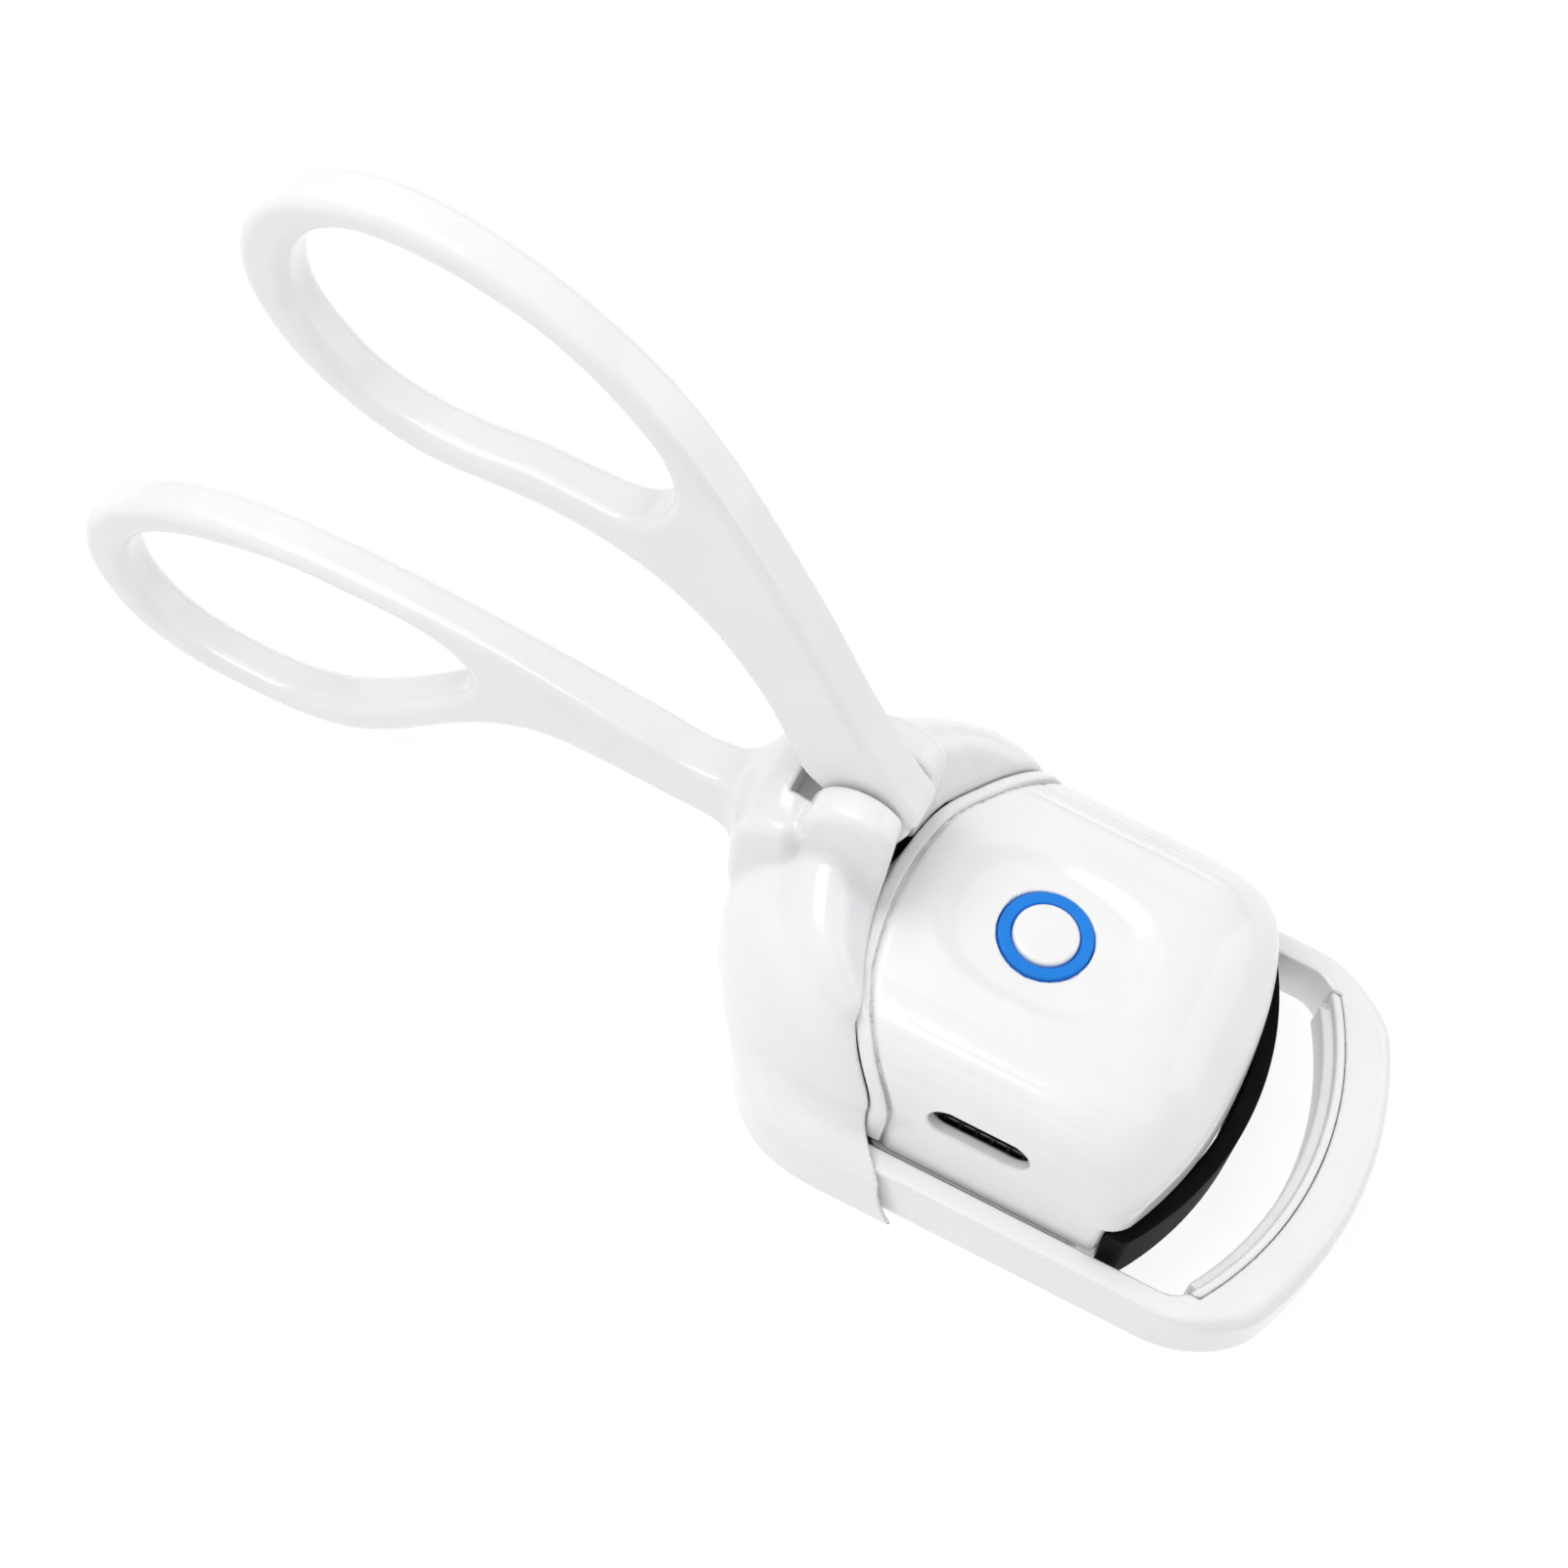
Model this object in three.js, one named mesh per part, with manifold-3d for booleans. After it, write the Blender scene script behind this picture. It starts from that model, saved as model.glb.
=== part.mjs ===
// Heated eyelash curler: two finger loops, a sliding heated head and a clamp frame.
// Millimetres. X runs across the head, Y runs forward to the clamp bar, Z is up.
// The origin is on the table, straight below the middle of the power button.
import * as THREE from 'three';
import { mergeVertices } from 'three/addons/utils/BufferGeometryUtils.js';
import Module from 'manifold-3d';

const wasm = await Module();
wasm.setup();

// ---- driving dimensions -------------------------------------------------
const GAP = 0.3;               // clearance between neighbouring pieces

const HANDLE_THICKNESS = 4.4;  // both finger loops, across X
const HANDLE_EDGE = 0.9;       // rounding of the loop edges

const PIVOT_Y = -17.2;
const PIVOT_Z = 30.0;
const PIN_RADIUS = 1.25;
const RUNNING = 0.08;          // radial play of the pivot pin in its bush
const EAR_RADIUS = 4.3;
const TOWER_HALF_WIDTH = 5.7;
const SLOT_HALF_WIDTH = HANDLE_THICKNESS / 2 + GAP;
const LEVER_LENGTH = 12.6;     // pivot to drive pin
const LEVER_REST_ANGLE = 12 * Math.PI / 180;
const DRIVE_PIN_RADIUS = 1.0;

const HEAD_HALF_WIDTH = 16.9;
const CROWN_Z = 22.6;          // top of the head
const COVER_BOTTOM_Z = 6.1;
const BAND_BOTTOM_Z = 7.1;
const COVER_WALL = 1.5;
const REAR_ARC_Y = 12.0;       // centre of the curved joint behind the head
const COVER_REAR_RADIUS = 24.1;
const BAND_INNER_RADIUS = 24.4;
const BAND_OUTER_RADIUS = 25.6;
const CRADLE_FRONT_RADIUS = 25.9;
const COVER_FRONT_RADIUS = 36.1;
const COVER_FRONT_Y = 20.1;
const NOSE_Y = 3.0;            // the rounding of the nose starts here
const NOSE_Z = 8.0;
const NOSE_PLAN_FULLNESS = 3.6;
const NOSE_HEIGHT_FULLNESS = 2.5;

const STRIP_RADIUS = 30.1;     // curve shared by the heated strip and the pad
const STRIP_FRONT_Y = 22.0;
const STRIP_THICKNESS = 1.7;
const STRIP_BOTTOM_Z = 2.6;
const STRIP_TOP_Z = 10.3;

const FRAME_HALF_WIDTH = 19.3;
const FRAME_INNER_HALF_WIDTH = 17.3;
const FRAME_BOTTOM_Z = 0.6;
const FRAME_TOP_Z = 6.8;
const FRAME_REAR_Y = -12.0;
const BAR_INNER_Y = 28.3;
const BAR_WIDTH = 5.2;
const PAD_PROUD = 0.9;
const PAD_DEPTH = 1.2;

const DOME_RADIUS = 17.3;
const DOME_LENGTH = 18.4;
const DOME_Y = -8.0;
const DOME_Z = 12.8;
const DOME_FULLNESS = 2.4;     // exponent of the rounded shape, 2 is an ellipse
const SKIRT_HALF_WIDTH = 20.3;
const SKIRT_LENGTH = 13.75;
const SKIRT_FULLNESS = 2.6;
const SKIRT_TOP_Z = 7.8;
const CRADLE_WALL = 1.6;
const SHOULDER_SLOPE = 1.3;    // rise of the dome behind the curved joint
const BASE_THICKNESS = 1.4;

const RING_OUTER = 4.05;
const RING_INNER = 2.95;
const RING_TOP_Z = 21.8;
const BUTTON_RADIUS = 2.65;

const USB_Y = 2.6;
const USB_Z = 15.2;
const USB_WIDTH = 9.2;
const USB_HEIGHT = 3.5;

const ROD_X = 10.5;
const ROD_Z = 4.5;
const ROD_RADIUS = 0.7;
const SPRING_RADIUS = 1.25;
const SPRING_WIRE = 0.25;
const SPRING_COILS = 7;
const REAR_SCREW = [7.0, -16.8];
const FRONT_SCREW = [14.2, -12.3];

// ---- materials ----------------------------------------------------------
const finish = (color, roughness, metalness = 0) => ({ color, roughness, metalness });
const GLOSS_WHITE = finish('#f4f4f2', 0.22);
const SATIN_WHITE = finish('#e9e9e6', 0.4);
const BLACK_RESIN = finish('#191919', 0.6);
const STEEL = finish('#b9bcbf', 0.3, 1);
const SILICONE = finish('#f1f1ee', 0.75);
const BLUE_LIGHT = finish('#3f86e6', 0.35);
const BOARD_GREEN = finish('#1f6b3e', 0.5);
const DARK_PLASTIC = finish('#2a2b2d', 0.5);
const CELL_WRAP = finish('#4f6f8f', 0.45);
const BRASS = finish('#c9a55b', 0.35, 1);

// ---- geometry helpers ---------------------------------------------------
function moved(geometry, x, y, z) {
  return geometry.translate(x, y, z);
}

// Lays an outline drawn as (y, z) across X, centred on x = 0.
function acrossX(shape, thickness, edge = 0, segments = 10) {
  const options = {
    depth: thickness - 2 * edge,
    bevelEnabled: edge > 0,
    bevelThickness: edge,
    bevelSize: edge,
    bevelOffset: -edge,
    bevelSegments: 3,
    curveSegments: segments,
  };
  const geometry = new THREE.ExtrudeGeometry(shape, options);
  geometry.translate(0, 0, -(thickness - 2 * edge) / 2);
  geometry.applyMatrix4(new THREE.Matrix4().set(0, 0, 1, 0, 1, 0, 0, 0, 0, 1, 0, 0, 0, 0, 0, 1));
  return geometry;
}

// Lays an outline drawn as (x, z) along Y from y0 to y1.
function alongY(shape, y0, y1, segments = 10) {
  const options = { depth: y1 - y0, bevelEnabled: false, curveSegments: segments };
  const geometry = new THREE.ExtrudeGeometry(shape, options);
  geometry.rotateX(Math.PI / 2);
  return moved(geometry, 0, y1, 0);
}

// Raises an outline drawn as (x, y) from z0 to z1.
function upZ(shape, z0, z1, segments = 12, edge = 0) {
  const options = {
    depth: z1 - z0 - 2 * edge,
    bevelEnabled: edge > 0,
    bevelThickness: edge,
    bevelSize: edge,
    bevelOffset: -edge,
    bevelSegments: 2,
    curveSegments: segments,
  };
  const geometry = new THREE.ExtrudeGeometry(shape, options);
  return moved(geometry, 0, 0, z0 + edge);
}

function box(x0, x1, y0, y1, z0, z1) {
  const geometry = new THREE.BoxGeometry(x1 - x0, y1 - y0, z1 - z0);
  return moved(geometry, (x0 + x1) / 2, (y0 + y1) / 2, (z0 + z1) / 2);
}

function rodX(radius, x0, x1, y, z, sides = 32) {
  const geometry = new THREE.CylinderGeometry(radius, radius, x1 - x0, sides);
  geometry.rotateZ(Math.PI / 2);
  return moved(geometry, (x0 + x1) / 2, y, z);
}

function rodY(radius, y0, y1, x, z, sides = 24) {
  const geometry = new THREE.CylinderGeometry(radius, radius, y1 - y0, sides);
  return moved(geometry, x, (y0 + y1) / 2, z);
}

function rodZ(radius, z0, z1, x, y, sides = 32) {
  const geometry = new THREE.CylinderGeometry(radius, radius, z1 - z0, sides);
  geometry.rotateX(Math.PI / 2);
  return moved(geometry, x, y, (z0 + z1) / 2);
}

function toManifold(geometry) {
  const bare = geometry.clone();
  bare.deleteAttribute('normal');
  bare.deleteAttribute('uv');
  const merged = mergeVertices(bare, 1e-4);
  return new wasm.Manifold(new wasm.Mesh({
    numProp: 3,
    vertProperties: new Float32Array(merged.attributes.position.array),
    triVerts: new Uint32Array(merged.index.array),
  }));
}

function toGeometry(body) {
  const mesh = body.getMesh();
  const geometry = new THREE.BufferGeometry();
  geometry.setAttribute('position', new THREE.BufferAttribute(mesh.vertProperties, 3));
  geometry.setIndex(new THREE.BufferAttribute(mesh.triVerts, 1));
  const flat = geometry.toNonIndexed();
  flat.computeVertexNormals();
  return flat;
}

function cut(body, ...tools) {
  return toGeometry(tools.reduce((left, tool) => left.subtract(toManifold(tool)), toManifold(body)));
}

function join(body, ...others) {
  return toGeometry(others.reduce((left, other) => left.add(toManifold(other)), toManifold(body)));
}

function common(body, ...others) {
  return toGeometry(others.reduce((left, other) => left.intersect(toManifold(other)), toManifold(body)));
}

// The same piece on the other side of the middle plane.
function mirrorX(geometry) {
  const copy = geometry.index ? geometry.toNonIndexed() : geometry.clone();
  copy.applyMatrix4(new THREE.Matrix4().makeScale(-1, 1, 1));
  const position = copy.attributes.position;
  for (let corner = 0; corner < position.count; corner += 3) {
    const second = new THREE.Vector3().fromBufferAttribute(position, corner + 1);
    const third = new THREE.Vector3().fromBufferAttribute(position, corner + 2);
    position.setXYZ(corner + 1, third.x, third.y, third.z);
    position.setXYZ(corner + 2, second.x, second.y, second.z);
  }
  copy.computeVertexNormals();
  return copy;
}

const group = new THREE.Group();
group.name = 'heated_eyelash_curler';

function add(name, geometry, look, parent = group) {
  const material = new THREE.MeshStandardMaterial(look);
  material.name = `${name}_finish`;
  const mesh = new THREE.Mesh(geometry, material);
  mesh.name = name;
  parent.add(mesh);
  return mesh;
}

// ---- finger loops -------------------------------------------------------
const points = (pairs) => pairs.map(([a, b]) => new THREE.Vector2(a, b));

function loopShape(outline, hole) {
  const shape = new THREE.Shape();
  shape.moveTo(...outline[0]);
  shape.splineThru(points(outline.slice(1)));
  shape.closePath();
  const opening = new THREE.Path();
  opening.setFromPoints(new THREE.CatmullRomCurve3(
    hole.map(([y, z]) => new THREE.Vector3(y, z, 0)), true, 'centripetal',
  ).getPoints(44).slice(0, -1).map((p) => new THREE.Vector2(p.x, p.y)));
  shape.holes.push(opening);
  return shape;
}

// Upper loop with its lever, drawn from the pivot round the loop and back.
const upperOutline = [
  [-12.8, 31.5], [-14.9, 34.6], [-19.3, 40.4], [-24.8, 48.9], [-30.0, 56.2], [-35.5, 63.2],
  [-41.0, 68.7], [-46.5, 72.4], [-52.5, 75.1], [-58.5, 76.5], [-64.5, 76.6], [-69.5, 74.9],
  [-73.4, 71.9], [-75.6, 66.6], [-75.2, 61.7], [-73.4, 58.0], [-70.6, 54.7], [-66.5, 51.9],
  [-62.0, 50.1], [-57.5, 49.5], [-52.0, 50.1], [-47.0, 50.4], [-42.5, 49.9], [-38.0, 48.5],
  [-34.0, 46.1], [-30.5, 42.8], [-27.5, 39.1], [-25.0, 35.1], [-22.6, 31.4],
];
const upperHole = [
  [-38.2, 60.0], [-39.6, 63.8], [-42.8, 67.0], [-46.4, 69.6], [-50.5, 71.7], [-54.6, 72.9],
  [-58.7, 73.6], [-62.7, 73.6], [-66.0, 72.9], [-69.0, 70.8], [-70.9, 67.4], [-71.3, 63.4],
  [-70.3, 59.8], [-67.6, 56.4], [-64.1, 53.9], [-59.5, 52.8], [-55.0, 52.9], [-50.6, 53.7],
  [-45.8, 53.7], [-42.0, 54.0], [-39.4, 55.9],
];
const lowerOutline = [
  [-23.6, 28.6], [-27.6, 24.9], [-32.0, 23.6], [-37.0, 24.2], [-44.5, 25.2], [-53.5, 26.1], [-63.0, 26.4],
  [-72.3, 26.0], [-78.5, 24.8], [-84.2, 22.5], [-88.3, 19.3], [-90.9, 14.8], [-90.9, 9.8],
  [-89.2, 6.2], [-86.1, 2.8], [-81.5, 0.7], [-75.5, 0.1], [-69.0, 0.5], [-64.0, 2.1],
  [-59.5, 5.6], [-54.5, 11.0], [-50.0, 15.0], [-45.5, 17.4], [-40.5, 18.0], [-34.0, 17.9],
  [-29.0, 17.6], [-23.6, 15.6],
];
const lowerHole = [
  [-53.3, 20.6], [-55.2, 22.8], [-58.8, 23.9], [-65.3, 24.0], [-71.0, 23.6], [-76.5, 22.1],
  [-81.5, 19.9], [-84.8, 17.3], [-86.8, 13.6], [-86.6, 9.3], [-84.3, 5.6], [-80.5, 3.3],
  [-75.0, 2.6], [-69.7, 3.3], [-65.2, 5.6], [-60.6, 9.6], [-56.6, 14.0], [-53.9, 17.4],
];

const leverFootY = PIVOT_Y - LEVER_LENGTH * Math.sin(LEVER_REST_ANGLE);
const leverFootZ = PIVOT_Z - LEVER_LENGTH * Math.cos(LEVER_REST_ANGLE);

const upperLoop = acrossX(loopShape(upperOutline, upperHole), HANDLE_THICKNESS, HANDLE_EDGE, 2);
const leverShape = new THREE.Shape();
leverShape.absarc(PIVOT_Y, PIVOT_Z, 3.9, 0.2, Math.PI - 0.1, false);
leverShape.absarc(leverFootY, leverFootZ, 2.5, Math.PI, 2 * Math.PI, false);
leverShape.closePath();
const lever = acrossX(leverShape, HANDLE_THICKNESS, 0.3);
const upperHandle = new THREE.Group();
upperHandle.name = 'upper_handle_group';
group.add(upperHandle);
add('upper_handle', cut(
  join(upperLoop, lever),
  rodX(PIN_RADIUS + GAP + 0.8, -4, 4, PIVOT_Y, PIVOT_Z),
  rodX(DRIVE_PIN_RADIUS + GAP, -4, 4, leverFootY, leverFootZ),
), GLOSS_WHITE, upperHandle);

add('pivot_bush', cut(
  rodX(PIN_RADIUS + 0.8, -2.2, 2.2, PIVOT_Y, PIVOT_Z),
  rodX(PIN_RADIUS + RUNNING, -3, 3, PIVOT_Y, PIVOT_Z),
), BRASS, upperHandle);

add('drive_pin', rodX(DRIVE_PIN_RADIUS, -6.6, 6.6, leverFootY, leverFootZ, 24), STEEL, upperHandle);

// ---- rear cradle --------------------------------------------------------
// Rounded outline between an ellipse and a rectangle, open towards the front.
function rearPlan(halfWidth, length, fullness, frontY) {
  const shape = new THREE.Shape();
  const steps = 28;
  shape.moveTo(halfWidth, frontY);
  for (let step = 0; step <= steps; step += 1) {
    const angle = Math.PI * step / steps;
    const c = Math.cos(angle);
    const s = Math.sin(angle);
    const scale = (Math.abs(c) ** fullness + Math.abs(s) ** fullness) ** (-1 / fullness);
    shape.lineTo(halfWidth * c * scale, DOME_Y - length * s * scale);
  }
  shape.lineTo(-halfWidth, frontY);
  shape.closePath();
  return shape;
}

// A ball filled out towards a box: one exponent shapes the plan, one the height.
function fullBall(sizeX, sizeY, sizeZ, planFullness, heightFullness) {
  const ball = new THREE.SphereGeometry(1, 48, 32);
  ball.rotateX(Math.PI / 2);
  const position = ball.attributes.position;
  for (let i = 0; i < position.count; i += 1) {
    const p = new THREE.Vector3().fromBufferAttribute(position, i);
    const plan = (Math.abs(p.x) ** planFullness + Math.abs(p.y) ** planFullness)
      ** (heightFullness / planFullness);
    p.multiplyScalar((plan + Math.abs(p.z) ** heightFullness) ** (-1 / heightFullness));
    position.setXYZ(i, p.x * sizeX, p.y * sizeY, p.z * sizeZ);
  }
  return ball;
}

function dome(inset) {
  const radius = DOME_RADIUS - inset;
  const rear = moved(
    fullBall(radius, DOME_LENGTH - inset, radius, DOME_FULLNESS, DOME_FULLNESS), 0, DOME_Y, DOME_Z,
  );
  const section = new THREE.Shape();
  const steps = 24;
  section.moveTo(radius, SKIRT_TOP_Z - 1.5);
  for (let step = 0; step <= steps; step += 1) {
    const angle = Math.PI * step / steps;
    const c = Math.cos(angle);
    const s = Math.sin(angle);
    const scale = radius * (Math.abs(c) ** DOME_FULLNESS + Math.abs(s) ** DOME_FULLNESS)
      ** (-1 / DOME_FULLNESS);
    section.lineTo(c * scale, s * scale + DOME_Z);
  }
  section.lineTo(-radius, SKIRT_TOP_Z - 1.5);
  section.closePath();
  return join(rear, alongY(section, DOME_Y, 2));
}

// The dome falls to the head in front, trimmed by a cone about the curved joint.
function slopeCone(lift) {
  const height = 14;
  const cone = new THREE.CylinderGeometry(
    CRADLE_FRONT_RADIUS + height / SHOULDER_SLOPE, CRADLE_FRONT_RADIUS, height, 96,
  );
  cone.rotateX(Math.PI / 2);
  return moved(cone, 0, REAR_ARC_Y, CROWN_Z + 0.9 + lift + height / 2);
}

const slopedDome = cut(dome(0), slopeCone(0));
const slopedHollow = cut(dome(CRADLE_WALL), slopeCone(-CRADLE_WALL * Math.hypot(1, SHOULDER_SLOPE)));

const towerShape = new THREE.Shape();
towerShape.moveTo(-25.4, 14);
towerShape.lineTo(-25.4, 25.6);
towerShape.quadraticCurveTo(-25.0, 28.4, -22.4, 29.4);
towerShape.lineTo(-21.2, 31.6);
towerShape.absarc(PIVOT_Y, PIVOT_Z, EAR_RADIUS, Math.PI * 0.88, -0.1, true);
towerShape.lineTo(-12.7, 14);
towerShape.closePath();
const tower = acrossX(towerShape, 2 * TOWER_HALF_WIDTH, 0.5, 5);

const skirt = upZ(rearPlan(SKIRT_HALF_WIDTH, SKIRT_LENGTH, SKIRT_FULLNESS, -3.8), 0.1, SKIRT_TOP_Z, 1, 0.6);
const pocketHalf = FRAME_HALF_WIDTH + GAP;
const pocketRear = FRAME_REAR_Y - GAP;
const armPocket = box(-pocketHalf, pocketHalf, pocketRear, 5, -1, FRAME_TOP_Z + GAP);
const frontCut = rodZ(CRADLE_FRONT_RADIUS, FRAME_TOP_Z, 60, 0, REAR_ARC_Y, 96);
const innerHollow = common(slopedHollow, box(-30, 30, -40, 30, BASE_THICKNESS + GAP, 60));
const lowerHollow = upZ(
  rearPlan(SKIRT_HALF_WIDTH - 2.2, SKIRT_LENGTH - 2.2, SKIRT_FULLNESS, 10), -1, 6, 1,
);
const leverSlot = box(-SLOT_HALF_WIDTH, SLOT_HALF_WIDTH, -23.6, -5, 9, 40);
const yokeSweep = box(-7.4, 7.4, -22.6, -5, 12, 21.6);
const tonguePocket = box(-1.9, 1.9, -40, -20, 18.3, 22.7);

const screwBoss = ([x, y], radius, top) => rodZ(radius, BASE_THICKNESS + GAP, top, x, y, 24);
const screwBore = ([x, y]) => rodZ(1.0, 0, 6, x, y, 24);

const cradleShell = cut(
  join(slopedDome, skirt, tower),
  frontCut,
  innerHollow,
  lowerHollow,
  armPocket,
  leverSlot,
  yokeSweep,
  tonguePocket,
  rodX(PIN_RADIUS + GAP, -6, 4.6, PIVOT_Y, PIVOT_Z),
  box(-30, 30, -40, 40, -9, 0.1),
  box(-30, 30, -3.8, 40, -9, 60),
);
const rearBoss = screwBoss(REAR_SCREW, 2.6, 8.5);
const frontBoss = screwBoss(FRONT_SCREW, 1.9, 12);
const bores = [screwBore(REAR_SCREW), screwBore(FRONT_SCREW)];
add('rear_cradle', cut(
  join(cradleShell, rearBoss, frontBoss, mirrorX(rearBoss), mirrorX(frontBoss)),
  ...bores,
  ...bores.map(mirrorX),
), GLOSS_WHITE);

add('pivot_pin', rodX(PIN_RADIUS, -5.5, 4.3, PIVOT_Y, PIVOT_Z), STEEL);

add('lower_handle', join(
  cut(
    acrossX(loopShape(lowerOutline, lowerHole), HANDLE_THICKNESS, HANDLE_EDGE, 2),
    dome(-GAP),
    box(-6, 6, -25.4 - GAP, -10, 0, 40),
  ),
  box(-1.6, 1.6, -29, -23.9, 18.6, 22.4),
), GLOSS_WHITE);

// ---- clamp frame and pad ------------------------------------------------
// Outline of the clamp frame: straight arms and a bowed bar with rounded corners.
function barArc(radius, centreY, halfWidth) {
  return centreY + Math.sqrt(radius * radius - halfWidth * halfWidth);
}

const barCentreY = BAR_INNER_Y - STRIP_RADIUS;
const barOuterRadius = STRIP_RADIUS + BAR_WIDTH;
const innerCornerX = FRAME_INNER_HALF_WIDTH - 1.2;
const outerCornerX = FRAME_HALF_WIDTH - 3.2;
const innerEndAngle = Math.acos(innerCornerX / STRIP_RADIUS);
const outerEndAngle = Math.acos(outerCornerX / barOuterRadius);
const innerCornerY = barArc(STRIP_RADIUS, barCentreY, FRAME_INNER_HALF_WIDTH);
const outerCornerY = barArc(barOuterRadius, barCentreY, FRAME_HALF_WIDTH);
const frameShape = new THREE.Shape();
frameShape.moveTo(FRAME_HALF_WIDTH, FRAME_REAR_Y);
frameShape.lineTo(FRAME_HALF_WIDTH, outerCornerY - 3.0);
frameShape.quadraticCurveTo(
  FRAME_HALF_WIDTH, outerCornerY, outerCornerX, barArc(barOuterRadius, barCentreY, outerCornerX),
);
frameShape.absarc(0, barCentreY, barOuterRadius, outerEndAngle, Math.PI - outerEndAngle, false);
frameShape.quadraticCurveTo(
  -FRAME_HALF_WIDTH, outerCornerY, -FRAME_HALF_WIDTH, outerCornerY - 3.0,
);
frameShape.lineTo(-FRAME_HALF_WIDTH, FRAME_REAR_Y);
frameShape.lineTo(-FRAME_INNER_HALF_WIDTH, FRAME_REAR_Y);
frameShape.lineTo(-FRAME_INNER_HALF_WIDTH, innerCornerY - 0.8);
frameShape.quadraticCurveTo(
  -FRAME_INNER_HALF_WIDTH, innerCornerY, -innerCornerX, barArc(STRIP_RADIUS, barCentreY, innerCornerX),
);
frameShape.absarc(0, barCentreY, STRIP_RADIUS, Math.PI - innerEndAngle, innerEndAngle, true);
frameShape.quadraticCurveTo(
  FRAME_INNER_HALF_WIDTH, innerCornerY, FRAME_INNER_HALF_WIDTH, innerCornerY - 0.8,
);
frameShape.lineTo(FRAME_INNER_HALF_WIDTH, FRAME_REAR_Y);
frameShape.closePath();

// A curved strip of constant height about the middle plane.
function arcBand(centreY, innerRadius, outerRadius, halfWidth, z0, z1, segments = 24) {
  const inner = Math.acos(halfWidth / innerRadius);
  const outer = Math.acos(halfWidth / outerRadius);
  const shape = new THREE.Shape();
  shape.absarc(0, centreY, outerRadius, outer, Math.PI - outer, false);
  shape.absarc(0, centreY, innerRadius, Math.PI - inner, inner, true);
  shape.closePath();
  return upZ(shape, z0, z1, segments);
}

const PAD_HALF_WIDTH = 15.0;
add('clamp_frame', cut(
  upZ(frameShape, FRAME_BOTTOM_Z, FRAME_TOP_Z, 6, 0.4),
  arcBand(
    barCentreY, STRIP_RADIUS - 1, STRIP_RADIUS + PAD_DEPTH + GAP, PAD_HALF_WIDTH + GAP,
    FRAME_BOTTOM_Z + 1.2, FRAME_TOP_Z - 0.9,
  ),
), GLOSS_WHITE);
add('curling_pad', arcBand(
  barCentreY, STRIP_RADIUS - PAD_PROUD, STRIP_RADIUS + PAD_DEPTH, PAD_HALF_WIDTH,
  FRAME_BOTTOM_Z + 1.5, FRAME_TOP_Z - 1.2,
), SILICONE);

// ---- base plate, screws, guide rods -------------------------------------
const basePlan = rearPlan(SKIRT_HALF_WIDTH - 2.5, SKIRT_LENGTH - 2.5, SKIRT_FULLNESS, 4);
const armRelief = box(FRAME_INNER_HALF_WIDTH - GAP, 30, pocketRear, 10, -1, 3);
const screwPlaces = [];
for (const side of [1, -1]) {
  screwPlaces.push([side * REAR_SCREW[0], REAR_SCREW[1]], [side * FRONT_SCREW[0], FRONT_SCREW[1]]);
}
const recesses = screwPlaces.flatMap(([x, y]) => [
  rodZ(1.9, -1, 0.9, x, y, 24), rodZ(1.0, -1, 3, x, y, 24),
]);
const rodLug = cut(
  box(ROD_X - 1.6, ROD_X + 1.5, -13.9, -10.7, BASE_THICKNESS - 0.2, ROD_Z + 1.9),
  rodY(ROD_RADIUS + GAP, -13.4, -9, ROD_X, ROD_Z),
);
add('base_plate', cut(
  join(upZ(basePlan, 0, BASE_THICKNESS, 1), rodLug, mirrorX(rodLug)),
  armRelief,
  mirrorX(armRelief),
  ...recesses,
), SATIN_WHITE);

screwPlaces.forEach(([x, y], index) => {
  const screw = cut(
    join(rodZ(1.6, 0.1, 0.6, x, y, 24), rodZ(0.7, 0.5, 5.5, x, y, 16)),
    box(x - 1.0, x + 1.0, y - 0.2, y + 0.2, -1, 0.35),
    box(x - 0.2, x + 0.2, y - 1.0, y + 1.0, -1, 0.35),
  );
  add(`base_screw_${index + 1}`, screw, STEEL);
});

const rod = join(
  rodY(ROD_RADIUS, -13.1, 10.6, ROD_X, ROD_Z, 20),
  rodY(1.45, 9.8, 10.6, ROD_X, ROD_Z, 24),
);
add('guide_rod_right', rod, STEEL);
add('guide_rod_left', mirrorX(rod), STEEL);

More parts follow.
